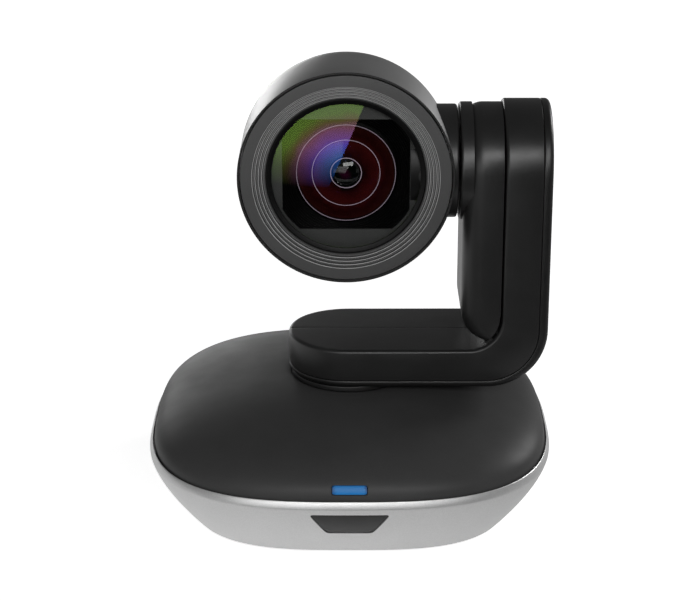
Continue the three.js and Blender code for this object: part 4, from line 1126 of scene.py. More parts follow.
    @staticmethod
    def slab(name: str, front: list[list[Vector]], back: Vector) -> bpy.types.Object:
        """A curved sheet with thickness.

        Args:
            name: The piece's name.
            front: Rows of points of its face.
            back: The step from the face to its back.

        Returns:
            The new object.
        """
        rows, columns = len(front), len(front[0])
        points = [p for row in front for p in row]
        points += [p + back for row in front for p in row]
        far = rows * columns
        faces = []
        for i in range(rows - 1):
            for k in range(columns - 1):
                a = i * columns + k
                quad = (a, a + 1, a + columns + 1, a + columns)
                faces += [quad, tuple(far + v for v in reversed(quad))]
        rim = [k for k in range(columns)]
        rim += [i * columns + columns - 1 for i in range(1, rows)]
        rim += [(rows - 1) * columns + k for k in reversed(range(columns - 1))]
        rim += [i * columns for i in reversed(range(1, rows - 1))]
        for k, a in enumerate(rim):
            b = rim[(k + 1) % len(rim)]
            faces.append((a, a + far, b + far, b))
        return mesh_piece(name, points, faces)

    def cover(self) -> bpy.types.Object:
        """The dark cover, with the round recess for the arm and the slot for the light."""
        turns = [2 * math.pi * k / self.facets for k in range(self.facets)]
        shares = [self.recess_share(turn) for turn in turns]
        edge_ring = self.cover_ring(1)
        rings = [
            self.skirt(edge_ring, 0.1 * MM, -1.9),
            self.skirt(edge_ring, 0.0, -0.6),
            self.skirt(edge_ring, 0.0, -0.15),
        ]
        for t in spread_steps(40):
            along = math.cos(t * math.pi / 2)
            row = []
            for turn, share in zip(turns, shares):
                ring = self.cover_ring(blend(share, 1, along))
                row.append(self.polar(ring.reach(turn), turn, ring.height))
            rings.append(row)
        heights = [point.z for point in rings[-1]]
        for out, drop in ((0.12, 0.06), (0.02, 0.22), (0.0, 0.5)):
            reach = self.recess + out * MM
            rings.append([self.polar(reach, a, z - drop * MM) for a, z in zip(turns, heights)])
        under = self.seat_z - self.wall
        for radius, z in (
            (self.recess, self.seat_z + 0.1 * MM),
            (self.recess - 0.15 * MM, self.seat_z),
            (self.shaft_hole, self.seat_z),
            (self.shaft_hole, under),
            (20 * MM, under),
        ):
            rings.append([self.polar(radius, turn, z) for turn in turns])
        for share in (0.5, 0.75, 0.9, 0.98):
            rings.append(self.cover_ring(share, self.wall).points(self.facets))
        inner_ring = self.cover_ring(1, self.wall)
        rings += [self.skirt(inner_ring, 0.0, level) for level in (-0.5, -1.9)]
        made = skin("domed_cover", rings, True, 40)
        carve(made, [self.light_block(self.light_gap)])
        return made

    def skirt(self, ring: Outline, by: float, level: float) -> list[Vector]:
        """A ring's points, drawn in and set some millimetres above the cover's edge."""
        return ring.inset(by, self.edge_z + level * MM).points(self.facets)

    @staticmethod
    def polar(radius: float, angle: float, height: float) -> Vector:
        """A point from its distance and angle round the pan axis."""
        return Vector((radius * math.cos(angle), radius * math.sin(angle), height))

    def light_block(self, by: float) -> bpy.types.Object:
        """The light's slot as a block through the front of the cover."""
        low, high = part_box("status_light_pipe")
        outline = rectangle((low.x - by, low.z - by), (high.x + by, high.z + by), 0.75 * MM)
        return prism("light_block", outline, low.y - 5 * MM, high.y + 4 * MM, Axis.LENS)

    def light(self) -> bpy.types.Object:
        """The light pipe's window, which follows the cover."""
        low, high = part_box("status_light_pipe")
        corner = 0.6 * MM
        front = []
        for t in spread_steps(10):
            z = blend(low.z, high.z, t)
            rest = ((z - self.edge_z) / self.dome_rise) ** (1 / self.shoulder)
            ring = self.cover_ring((1 - rest) ** (1 / self.roundness))
            half = high.x - self.corner_trim(z - low.z, corner)
            half -= self.corner_trim(high.z - z, corner)
            front.append(self.follow(ring, half, z, 0.1 * MM, 36))
        return self.slab("status_light", front, Vector((0, 1.8 * MM, 0)))

    def underside(self, dark: bpy.types.Material, rubber: bpy.types.Material) -> None:
        """The bottom plate and its feet.

        Args:
            dark: The plate's material.
            rubber: The feet's material.
        """
        ring = self.shell_ring(1).inset(self.wall + 0.3 * MM)
        levels = [(0.3, 0.0), (0.0, 0.3), (0.0, 1.9)]
        rings = [ring.inset(by * MM, self.floor_z + up * MM).points(160) for by, up in levels]
        plate = skin("underside_plate", rings)
        drills = []
        for name in [n for n in frame["nodes"] if n.startswith("base_screw")]:
            drills.append(self.drill(name, 0.15 * MM, 2.6 * MM))
        drills.append(self.drill("tripod_insert", 0.1 * MM, 12 * MM))
        carve(plate, drills)
        dress(plate, [dark], Body.BASE, "black_plastic", "bottom_plate")
        for name in sorted(n for n in frame["nodes"] if n.startswith("foot_")):
            low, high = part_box(name)
            radius = (high.x - low.x) / 2
            profile = soft_corners(
                [
                    (0, low.z),
                    (radius - 1.6 * MM, low.z, 0.2 * MM),
                    (radius - 1.3 * MM, low.z + 0.2 * MM, 0.1 * MM),
                    (radius, low.z + 0.25 * MM, 0.5 * MM),
                    (radius, high.z),
                    (0, high.z),
                ],
                4,
                False,
            )
            centre = (low + high) / 2
            made = Lathe(Axis.PAN, centre, 72).turn(f"rubber_{name}", profile, False)
            dress(made, [rubber], Body.BASE, "rubber", name)

    @staticmethod
    def drill(name: str, gap: float, top: float) -> bpy.types.Object:
        """A round cutter through the floor.

        Args:
            name: The CAD node that the hole is for.
            gap: How much wider than the node it is, all round.
            top: Its upper end.

        Returns:
            The cutter.
        """
        low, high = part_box(name)
        radius = (high.x - low.x) / 2 + gap
        profile = [(0, -1 * MM), (radius, -1 * MM), (radius, top), (0, top)]
        return Lathe(Axis.PAN, (low + high) / 2, 48).turn("drill", profile, False)

    def tripod_seat(self) -> bpy.types.Object:
        """The threaded insert, with its thread's grooves."""
        low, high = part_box("tripod_insert")
        bore, outer, depth = 3.2 * MM, high.x, 7 * MM
        half = self.thread_pitch / 2
        profile = [(outer - 0.2 * MM, low.z), (outer, low.z + 0.2 * MM)]
        profile += [(outer, high.z), (0, high.z), (0, low.z + depth), (bore, low.z + depth)]
        for i in range(self.thread_turns):
            z = low.z + depth - 0.4 * MM - i * self.thread_pitch
            profile += [(bore, z), (bore + half, z - half)]
        profile += [(bore + 0.1 * MM, low.z + 0.3 * MM), (bore + 0.5 * MM, low.z)]
        return Lathe(Axis.PAN, Vector((0, 0, 0)), 72).turn("tripod_thread", profile, True, 20)

    def build(self, paint: dict[str, bpy.types.Material]) -> None:
        """Builds and dresses the base.

        Args:
            paint: The materials by finish name.
        """
        for made, finish, slot, node in (
            (self.lower_shell(), "silver", "silver_paint", "base_lower_shell"),
            (self.cover(), "charcoal", "charcoal_plastic", "base_top_cover"),
            (self.window(), "window", "infrared_window", "infrared_window"),
            (self.light(), "lamp", "blue_light_pipe", "status_light_pipe"),
        ):
            dress(made, [paint[finish]], Body.BASE, slot, node)
        self.underside(paint["port_black"], paint["rubber"])
        dress(self.tripod_seat(), [paint["brass"]], Body.BASE, "brass", "tripod_insert")


# ---------------------------------------------------------------- arm


@dataclass(frozen=True)
class Station:
    """One section of a sleeve: a point on each side line, and how far it is past a round end."""

    outer: Vector
    inner: Vector
    beyond: float


def rim_drop(depth: float, radius: float) -> float:
    """How far a rounded edge falls away at a distance in from the edge."""
    if depth >= radius:
        return 0.0
    return radius - math.sqrt(max(0.0, radius**2 - (radius - max(0.0, depth)) ** 2))


@dataclass
class ArmUnit:
    """Bent arm in two halves with a darker outer cover, its tilt pod and its collar."""

    edge: float = 1.0 * MM
    seam: float = 0.06 * MM
    seam_edge: float = 0.22 * MM
    crown: float = 0.45 * MM
    inner_fillet: float = 10.5 * MM
    skin_corner: float = 19.0 * MM
    shell_corner: float = 16.8 * MM
    pod_corner: float = 10.5 * MM
    pod_round: float = 6.5 * MM
    pod_step: float = 1.0 * MM
    boss_bore: float = 7 * MM
    shaft_bore: float = 6.5 * MM
    shaft: float = 9 * MM
    collar_bore: float = 11 * MM
    round_steps: int = 22
    straight_steps: int = 8
    bend_steps: int = 20

    def __post_init__(self) -> None:
        """Takes the places from the frame."""
        low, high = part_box("arm_front_shell")
        self.radius = -low.y
        self.leg_bottom, self.top = low.z, high.z
        self.outer_x = high.x
        self.axis_z = self.top - self.radius
        self.pod_low, self.pod_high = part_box("tilt_pod")
        self.upright_x = self.pod_high.x + 0.1 * MM
        self.leg_top = self.pod_low.z - 1.5 * MM
        self.cover_low, self.cover_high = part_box("arm_outer_cover")

    def stations(
        self, outer_x: float, bottom: float, outer_corner: float, inner: tuple[float, float, float]
    ) -> list[Station]:
        """Sections along a bent arm, from the leg's round end to the upright's round top.

        Args:
            outer_x: The outer line's upright part.
            bottom: The outer line's level part.
            outer_corner: The outer line's bend radius.
            inner: The inner line's upright x, level z and bend radius.

        Returns:
            The sections.
        """
        inner_x, level, inner_corner = inner
        left = -self.radius
        made = []
        for t in spread_steps(self.round_steps):
            x = left * math.cos(t * math.pi / 2)
            made.append(Station(Vector((x, 0, bottom)), Vector((x, 0, level)), -x))
        starts = (outer_x - outer_corner, inner_x - inner_corner)
        for t in spread_steps(self.straight_steps)[1:]:
            a, b = (blend(0, start, t) for start in starts)
            made.append(Station(Vector((a, 0, bottom)), Vector((b, 0, level)), 0))
        centres = [
            Vector((starts[0], 0, bottom + outer_corner)),
            Vector((starts[1], 0, level + inner_corner)),
        ]
        for t in spread_steps(self.bend_steps)[1:]:
            turn = Vector((math.sin(t * math.pi / 2), 0, -math.cos(t * math.pi / 2)))
            bend = (centres[0] + turn * outer_corner, centres[1] + turn * inner_corner)
            made.append(Station(*bend, 0))
        for t in spread_steps(self.straight_steps)[1:]:
            a, b = (blend(centre.z, self.axis_z, t) for centre in centres)
            made.append(Station(Vector((outer_x, 0, a)), Vector((inner_x, 0, b)), 0))
        for t in spread_steps(self.round_steps)[1:]:
            z = self.axis_z + self.radius * math.sin(t * math.pi / 2)
            beyond = z - self.axis_z
            made.append(Station(Vector((outer_x, 0, z)), Vector((inner_x, 0, z)), beyond))
        return made

    def sleeve(
        self,
        name: str,
        stations: list[Station],
        radius: float,
        edges: tuple[float, float],
        side: int = 0,
        crown: float = 0.0,
    ) -> bpy.types.Object:
        """A solid through sections, rounded along its edges.

        Args:
            name: The piece's name.
            stations: The sections.
            radius: Half depth of a full section.
            edges: Edge radii along the outer and inner lines.
            side: -1 or 1 for the front or rear half, 0 for the whole.
            crown: How far the inner face falls from its middle to its edges.

        Returns:
            The new object.
        """
        if side:
            shares = [side * math.sin(t * math.pi / 2) for t in spread_steps(18)]
            shares = [side * s for s in (0, 0.004, 0.009, 0.016)] + shares[1:]
        else:
            shares = [math.sin((t - 0.5) * math.pi) for t in spread_steps(32)]
        rings = []
        for station in stations:
            half = math.sqrt(max(0.0, radius**2 - station.beyond**2))
            across = (station.inner - station.outer).normalized()
            outer_row, inner_row = [], []
            for share in shares:
                gap = min(self.seam, half) * side
                y = gap + (half - abs(gap)) * share
                depth = radius - math.hypot(y, station.beyond)
                split = rim_drop(abs(y) - abs(gap), self.seam_edge) if side else 0.0
                fall = crown * (y / radius) ** 2
                shift = Vector((0, y, 0))
                outer_drop = max(rim_drop(depth, edges[0]), split)
                inner_drop = max(rim_drop(depth, edges[1]) + fall, split)
                outer_row.append(station.outer + shift + across * outer_drop)
                inner_row.append(station.inner + shift - across * inner_drop)
            rings.append(outer_row + inner_row[::-1])
        return skin(name, rings, crease=50)

    def pod_stations(self) -> list[Station]:
        """Sections of the pod from its foot in the arm's fillet up to its round top."""
        left, right = self.pod_low.x + self.pod_step, self.pod_high.x
        foot = self.pod_low.z
        reach = self.inner_fillet - 0.3 * MM
        hub = Vector((self.upright_x - self.inner_fillet, 0, self.leg_top + self.inner_fillet))
        corner = self.pod_corner
        rows = []
        for t in spread_steps(40):
            x = left + corner * t * t
            z = foot + corner * (1 - t) ** 2
            if math.hypot(x - hub.x, z - hub.z) < reach - 0.05 * MM:
                rows.append((x, z))
        made = []
        for x, z in reversed(rows):
            across = math.sqrt(max(0.0, reach**2 - (z - hub.z) ** 2))
            far = right if z > hub.z else min(right, hub.x + across)
            made.append(Station(Vector((x, 0, z)), Vector((max(far, x + 0.02 * MM), 0, z)), 0))
        start = max(z for _, z in rows)
        for t in spread_steps(16)[1:]:
            z = blend(start, self.axis_z, t)
            made.append(Station(Vector((left, 0, z)), Vector((right, 0, z)), 0))
        pod_radius = self.pod_high.y
        for t in spread_steps(22)[1:]:
            rise = pod_radius * math.sin(t * math.pi / 2)
            z = self.axis_z + rise
            made.append(Station(Vector((left, 0, z)), Vector((right, 0, z)), rise))
        return made

    def build(self, paint: dict[str, bpy.types.Material]) -> None:
        """Builds and dresses the arm.

        Args:
            paint: The materials by finish name.
        """
        lines = self.stations(
            self.outer_x,
            self.leg_bottom,
            self.shell_corner,
            (self.upright_x, self.leg_top, self.inner_fillet),
        )
        edges = (0.3 * MM, self.edge)
        for name, side, node in (
            ("arm_front_half", -1, "arm_front_shell"),
            ("arm_rear_half", 1, "arm_rear_shell"),
        ):
            made = self.sleeve(name, lines, self.radius, edges, side, self.crown)
            dress(made, [paint["arm"]], Body.ARM, "charcoal_plastic", node)
        outer = self.stations(
            self.cover_high.x,
            self.cover_low.z,
            self.skin_corner,
            (self.outer_x + 0.1 * MM, self.leg_bottom - 0.1 * MM, self.shell_corner),
        )
        made = self.sleeve("arm_outer_skin", outer, self.radius, (1.5 * MM, 0.3 * MM))
        dress(made, [paint["cover"]], Body.ARM, "black_plastic", "arm_outer_cover")
        rim = self.pod_high.y
        edges = (self.pod_round, 0.25 * MM)
        pod = self.sleeve("tilt_pod_body", self.pod_stations(), rim, edges)
        dress(pod, [paint["arm"]], Body.ARM, "charcoal_plastic")
        start, end = self.pod_low.x, self.pod_low.x + 4 * MM
        corners = [(self.boss_bore, start), (rim, start, 0.9 * MM), (rim, end)]
        profile = soft_corners([*corners, (self.boss_bore, end)], 5)
        boss = Lathe(Axis.TILT, Vector((0, 0, self.axis_z))).turn("tilt_boss", profile)
        dress(boss, [paint["arm"]], Body.ARM, "charcoal_plastic", "tilt_pod")
        self.collar(paint["collar"])

    def collar(self, dark: bpy.types.Material) -> None:
        """The round collar that carries the arm.

        Args:
            dark: Its material.
        """
        low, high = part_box("pan_turntable")
        seat = self.cover_low.z - 0.1 * MM
        bottom = seat - 1.9 * MM
        profile = [
            (self.shaft_bore, low.z, 0.3 * MM),
            (self.shaft, low.z, 0.3 * MM),
            (self.shaft, bottom),
            (high.x, bottom, 0.5 * MM),
            (high.x, seat, 0.3 * MM),
            (self.collar_bore, seat),
            (self.collar_bore, high.z),
            (self.shaft_bore, high.z),
        ]
        made = Lathe(Axis.PAN, Vector((0, 0, 0))).turn("pan_collar", soft_corners(profile, 4))
        dress(made, [dark], Body.ARM, "black_plastic", "pan_turntable")


# ---------------------------------------------------------------- head


@dataclass
class HeadUnit:
    """Barrel, rear cap, stepped bezel, tilt hub and lens."""

    straight: float = 24.8 * MM
    dome: float = 31 * MM
    wall: float = 2.0 * MM
    lip: float = 0.6 * MM
    steps: int = 4
    step: float = 1.0 * MM
    step_depth: float = 0.5 * MM
    step_edge: float = 0.17 * MM
    groove: float = 0.35 * MM
    sag: float = 1.8 * MM
    baffle_width: float = 0.808
    baffle_height: float = 0.722
    baffle_rim: float = 1.7 * MM
    ribs: int = 9
    hub_gap: float = 1.4 * MM

    def __post_init__(self) -> None:
        """Takes the places from the frame."""
        low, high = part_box("head_barrel")
        self.radius = (high.z - low.z) / 2
        self.axis_z = (high.z + low.z) / 2
        self.axis_x = low.x + self.radius
        self.face_y, self.seam_y = low.y, high.y
        self.rear_y = self.face_y + self.straight
        self.lathe = Lathe(Axis.LENS, Vector((self.axis_x, 0, self.axis_z)), 192)

    def outside(self, y: float) -> float:
        """The head's outer radius at a place along the lens axis."""
        along = max(0.0, y - self.rear_y) / self.dome
        return self.radius * math.sqrt(max(0.0, 1 - along * along))

    def around(self, face: bpy.types.MeshPolygon) -> float:
        """A face's distance from the lens axis."""
        return math.hypot(face.center.x - self.axis_x, face.center.z - self.axis_z)

    def barrel(self) -> bpy.types.Object:
        """The painted barrel with its thin front lip, whose front faces take a dark grey as
        painted shade.
        """
        inner = self.radius - self.lip
        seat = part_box("front_bezel")[1].y + 0.1 * MM
        profile = soft_corners(
            [
                (inner, seat),
                (inner, self.face_y, 0.15 * MM),
                (self.radius, self.face_y, 0.3 * MM),
                (self.radius, self.rear_y),
            ],
            3,
            False,
        )
        for t in spread_steps(14)[1:]:
            y = blend(self.rear_y, self.seam_y - 0.25 * MM, t)
            profile.append((self.outside(y), y))
        end, inside = self.outside(self.seam_y), self.radius - self.wall
        profile += [(end - 0.25 * MM, self.seam_y), (end - self.wall, self.seam_y)]
        profile += [(inside, self.rear_y), (inside, seat)]
        painted_shade_lip_y = self.face_y + 0.3 * MM
        made = self.lathe.turn("painted_barrel", profile)
        # Faces at the very front of the lip take the dark second finish as painted shade.
        return second_finish(made, lambda face: face.center.y < painted_shade_lip_y)

    def rear_cap(self) -> bpy.types.Object:
        """The rounded back of the head."""
        low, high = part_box("head_rear_cap")
        start = self.outside(low.y)
        profile = [(start - self.wall, low.y), (start - 0.3 * MM, low.y)]
        for t in spread_steps(36):
            y = blend(low.y + 0.3 * MM, high.y, math.sin(t * math.pi / 2))
            profile.append((self.outside(y), y))
        profile[-1] = (0, high.y)
        for t in reversed(spread_steps(12)):
            share = math.sin(t * math.pi / 2)
            y = blend(low.y, high.y - self.wall, share)
            profile.append((max(0.0, self.outside(y + self.wall * share) - self.wall), y))
        return self.lathe.turn("rounded_rear_cap", profile, False)

    def bezel(self) -> bpy.types.Object:
        """The faceplate, with four fine steps down to the lens, whose slanted edges take a light
        grey as a painted highlight.
        """
        low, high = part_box("front_bezel")
        outer = high.x - self.axis_x
        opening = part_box("lens_ring")[1].x - self.axis_x + 0.2 * MM
        corner = [(outer, high.y), (outer, low.y, 0.25 * MM), (opening, low.y)]
        profile: list[Point2] = [(outer, high.y), *soft_corners(corner, 4, False)[1:-1]]
        edge = self.step_edge
        for i in range(self.steps):
            radius = opening + self.step * (self.steps - i)
            y = low.y + self.step_depth * i
            below = y + self.step_depth
            profile += [
                (radius + edge, y),
                (radius, y + edge),
                (radius - 0.08 * MM, below + self.groove),
                (radius - 0.34 * MM, below + self.groove),
                (radius - 0.42 * MM, below + edge),
                (radius - 0.52 * MM, below),
            ]
        bottom = low.y + self.step_depth * self.steps
        profile += [(opening + 0.15 * MM, bottom), (opening, bottom + 0.15 * MM)]
        made = self.lathe.turn("stepped_bezel", [*profile, (opening, high.y)], True, 25)
        inside, outside = opening + 0.5 * MM, outer - 1 * MM

        def slanted(face: bpy.types.MeshPolygon) -> bool:
            """Whether a face is one of the slanted edges of the steps, which take the painted
            highlight.
            """
            return -0.95 < face.normal.y < -0.3 and inside < self.around(face) < outside

        return second_finish(made, slanted)

    def ring(self) -> bpy.types.Object:
        """The black ring that holds the front element."""
        low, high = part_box("lens_ring")
        outer = high.x - self.axis_x
        inner = outer - 1.6 * MM
        profile = soft_corners(
            [
                (inner, high.y),
                (inner, low.y + 0.25 * MM, 0.15 * MM),
                (outer - 0.3 * MM, low.y, 0.2 * MM),
                (outer, low.y, 0.1 * MM),
                (outer, high.y),
            ],
            3,
        )
        return self.lathe.turn("black_lens_ring", profile)

    def front_glass(self) -> bpy.types.Object:
        """The bulging front element."""
        low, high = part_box("front_lens")
        radius = high.x - self.axis_x
        sphere = (radius**2 + self.sag**2) / (2 * self.sag)
        profile: list[Point2] = []
        for t in spread_steps(28):
            r = radius * t
            profile.append((r, low.y + sphere - math.sqrt(sphere**2 - r**2)))
        profile += [(radius, high.y), (0, high.y)]
        made = self.lathe.turn("front_element", profile, False)
        return second_finish(made, lambda face: face.normal.y >= -0.5)

    def baffle(self) -> bpy.types.Object:
        """The plate with a square-cut opening behind the front element."""
        low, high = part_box("lens_baffle")
        radius = high.x - self.axis_x
        profile = [(0, low.y), (radius, low.y), (radius, high.y), (0, high.y)]
        made = self.lathe.turn("square_baffle", profile, False)
        x, z = radius * self.baffle_width, radius * self.baffle_height
        outline = rectangle(
            (self.axis_x - x, self.axis_z - z), (self.axis_x + x, self.axis_z + z), 1 * MM
        )
        block = prism("block", outline, low.y - 1 * MM, high.y + 1 * MM, Axis.LENS)
        reach, front, back = radius - self.baffle_rim, low.y - 2 * MM, high.y + 2 * MM
        profile = [(0, front), (reach, front), (reach, back), (0, back)]
        limit = self.lathe.turn("limit", profile, False)
        both = block.modifiers.new("both", "BOOLEAN")
        both.operation = "INTERSECT"
        both.object = limit
        shaped = block.evaluated_get(bpy.context.evaluated_depsgraph_get())
        block.data = bpy.data.meshes.new_from_object(shaped)
        block.modifiers.clear()
        bpy.data.objects.remove(limit)
        carve(made, [block])
        return made

    def inner_group(self) -> tuple[bpy.types.Object, list[bpy.types.Object]]:
        """The ribbed cell behind the baffle, and the bright rims of its elements.

        Returns:
            The cell, and the rims, of which the first carries the others.
        """
        low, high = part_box("fixed_lens_cell")
        outer = high.x - self.axis_x
        front = low.y + 0.1 * MM
        profile: list[Point2] = [(outer, high.y), (outer, front)]
        for i in range(self.ribs):
            r = blend(outer - 0.3 * MM, 16.2 * MM, i / self.ribs)
            y = blend(front, low.y + 1.4 * MM, i / self.ribs)
            profile += [(r, y), (r - 0.5 * MM, y + 0.35 * MM)]
        outer_lens = [(15.7, 1.2), (15.6, 0.9), (15.2, 0.9), (15.0, 1.3), (11.0, 1.5)]
        middle_lens = [(10.8, 1.0), (10.3, 1.0), (10.0, 1.6), (5.2, 1.4)]
        inner_lens = [(5.0, 0.9), (4.6, 0.9), (4.4, 1.5)]
        for r, y in outer_lens + middle_lens + inner_lens:
            profile.append((r * MM, low.y + y * MM))
        eye, back, bulge = 4.4 * MM, low.y + 1.5 * MM, 1.3 * MM
        for t in reversed(spread_steps(10)[:-1]):
            profile.append((eye * t, back - bulge * (1 - t * t)))
        cell = self.lathe.turn("inner_lens_cell", [*profile, (0, high.y)], False, 20)
        # Faces near the axis take the glowing inner finish: painted light.
        second_finish(cell, lambda face: self.around(face) < 15 * MM)
        rims = []
        for name, radius, y, thick in (
            ("element_rim_outer", 15.4, 0.88, 0.09),
            ("element_rim_middle", 10.55, 0.95, 0.11),
            ("element_rim_inner", 4.8, 0.85, 0.13),
        ):
            section = self.wire(radius * MM, low.y + y * MM, thick * MM)
            rims.append(self.lathe.turn(name, section))
        for rim in rims[1:]:
            rim.parent = rims[0]
        return cell, rims

    @staticmethod
    def wire(radius: float, y: float, thick: float) -> list[Point2]:
        """The round section of a thin ring."""
        turns = [2 * math.pi * k / 10 for k in range(10)]
        return [(radius + thick * math.cos(a), y + thick * math.sin(a)) for a in turns]

    def hub(self) -> bpy.types.Object:
        """The round hub that the head tilts on, with its hollow shaft."""
        low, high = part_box("tilt_hub")
        radius = (high.z - low.z) / 2
        end = self.axis_x + self.radius + self.hub_gap
        profile = soft_corners(
            [
                (3.5 * MM, end - 8 * MM),
                (radius, end - 15 * MM),
                (radius, end, 0.9 * MM),
                (radius - 3 * MM, end, 0.2 * MM),
                (radius - 3.2 * MM, end - 0.15 * MM),
                (6 * MM, end - 0.15 * MM),
                (6 * MM, high.x),
                (3.5 * MM, high.x),
            ],
            5,
        )
        lathe = Lathe(Axis.TILT, Vector((0, 0, self.axis_z)))
        return lathe.turn("round_tilt_hub", profile)

    def build(self, paint: dict[str, bpy.types.Material]) -> None:
        """Builds and dresses the head.

        Args:
            paint: The materials by finish name.
        """
        centre = Vector((self.axis_x, 0, self.axis_z))
        glass = [CoatedGlass().material(centre), CoatedGlass.uncoated()]
        # The faceplate's second finish paints a highlight on the step edges.
        face = [paint["faceplate"], paint["step_edge"]]
        for made, materials, slot, node in (
            (self.barrel(), [paint["gunmetal"], paint["lip"]], "barrel_paint", "head_barrel"),
            (self.rear_cap(), [paint["cap"]], "charcoal_plastic", "head_rear_cap"),
            (self.bezel(), face, "faceplate_plastic", "front_bezel"),
            (self.ring(), [paint["lens_black"]], "black_plastic", "lens_ring"),
            (self.front_glass(), glass, "glass", "front_lens"),
            (self.baffle(), [paint["baffle"]], "black_plastic", "lens_baffle"),
        ):
            dress(made, materials, Body.HEAD, slot, node)
        cell, rims = self.inner_group()
        inside = [paint["lens_black"], InnerElements().material(centre)]
        dress(cell, inside, Body.HEAD, "black_plastic", "fixed_lens_cell")
        # The rims glow pale as a painted highlight.
        dress(rims[0], [paint["rim"]], Body.HEAD, "steel")
        for rim in rims[1:]:
            rim.data.materials.append(paint["rim"])
        dress(self.hub(), [paint["arm"]], Body.HEAD, "charcoal_plastic", "tilt_hub")


# ---------------------------------------------------------------- carried-over CAD nodes


@dataclass
class CarriedNodes:
    """CAD nodes that keep their own shape and take a finer finish and softened edges."""

    bevel: float = 0.18 * MM
    shown: tuple[str, ...] = (
        "rear_port_panel",
        "power_jack",
        "data_port",
        "video_port",
        "network_jack",
    )

    def build(self, paint: dict[str, bpy.types.Material]) -> None:
        """Dresses every CAD node, and softens the edges of those that show.

        Args:
            paint: The materials by finish name.
        """
        finish_of_slot = {
            "charcoal_plastic": "charcoal",
            "silver_paint": "silver",
            "black_plastic": "port_black",
            "infrared_window": "window",
            "blue_light_pipe": "lamp",
            "circuit_board": "board",
            "gear_resin": "resin",
            "flex_circuit": "flex",
            "barrel_paint": "gunmetal",
            "faceplate_plastic": "faceplate",
            "glass": "lens_black",
        }
        for row in frame["record"]["subparts"]:
            name, slot = row["node"], row["material_slot"]
            node = frame["nodes"][name]
            node.data.materials.clear()
            node.data.materials.append(paint[finish_of_slot.get(slot, slot)])
            if name in self.shown or name.startswith("base_screw"):
                soft = node.modifiers.new("soft_edges", "BEVEL")
                soft.width = self.bevel
                soft.segments = 2
                soft.limit_method = "ANGLE"
                soft.angle_limit = math.radians(40)
            LOG.info("%s is dressed", name)


# ---------------------------------------------------------------- studio


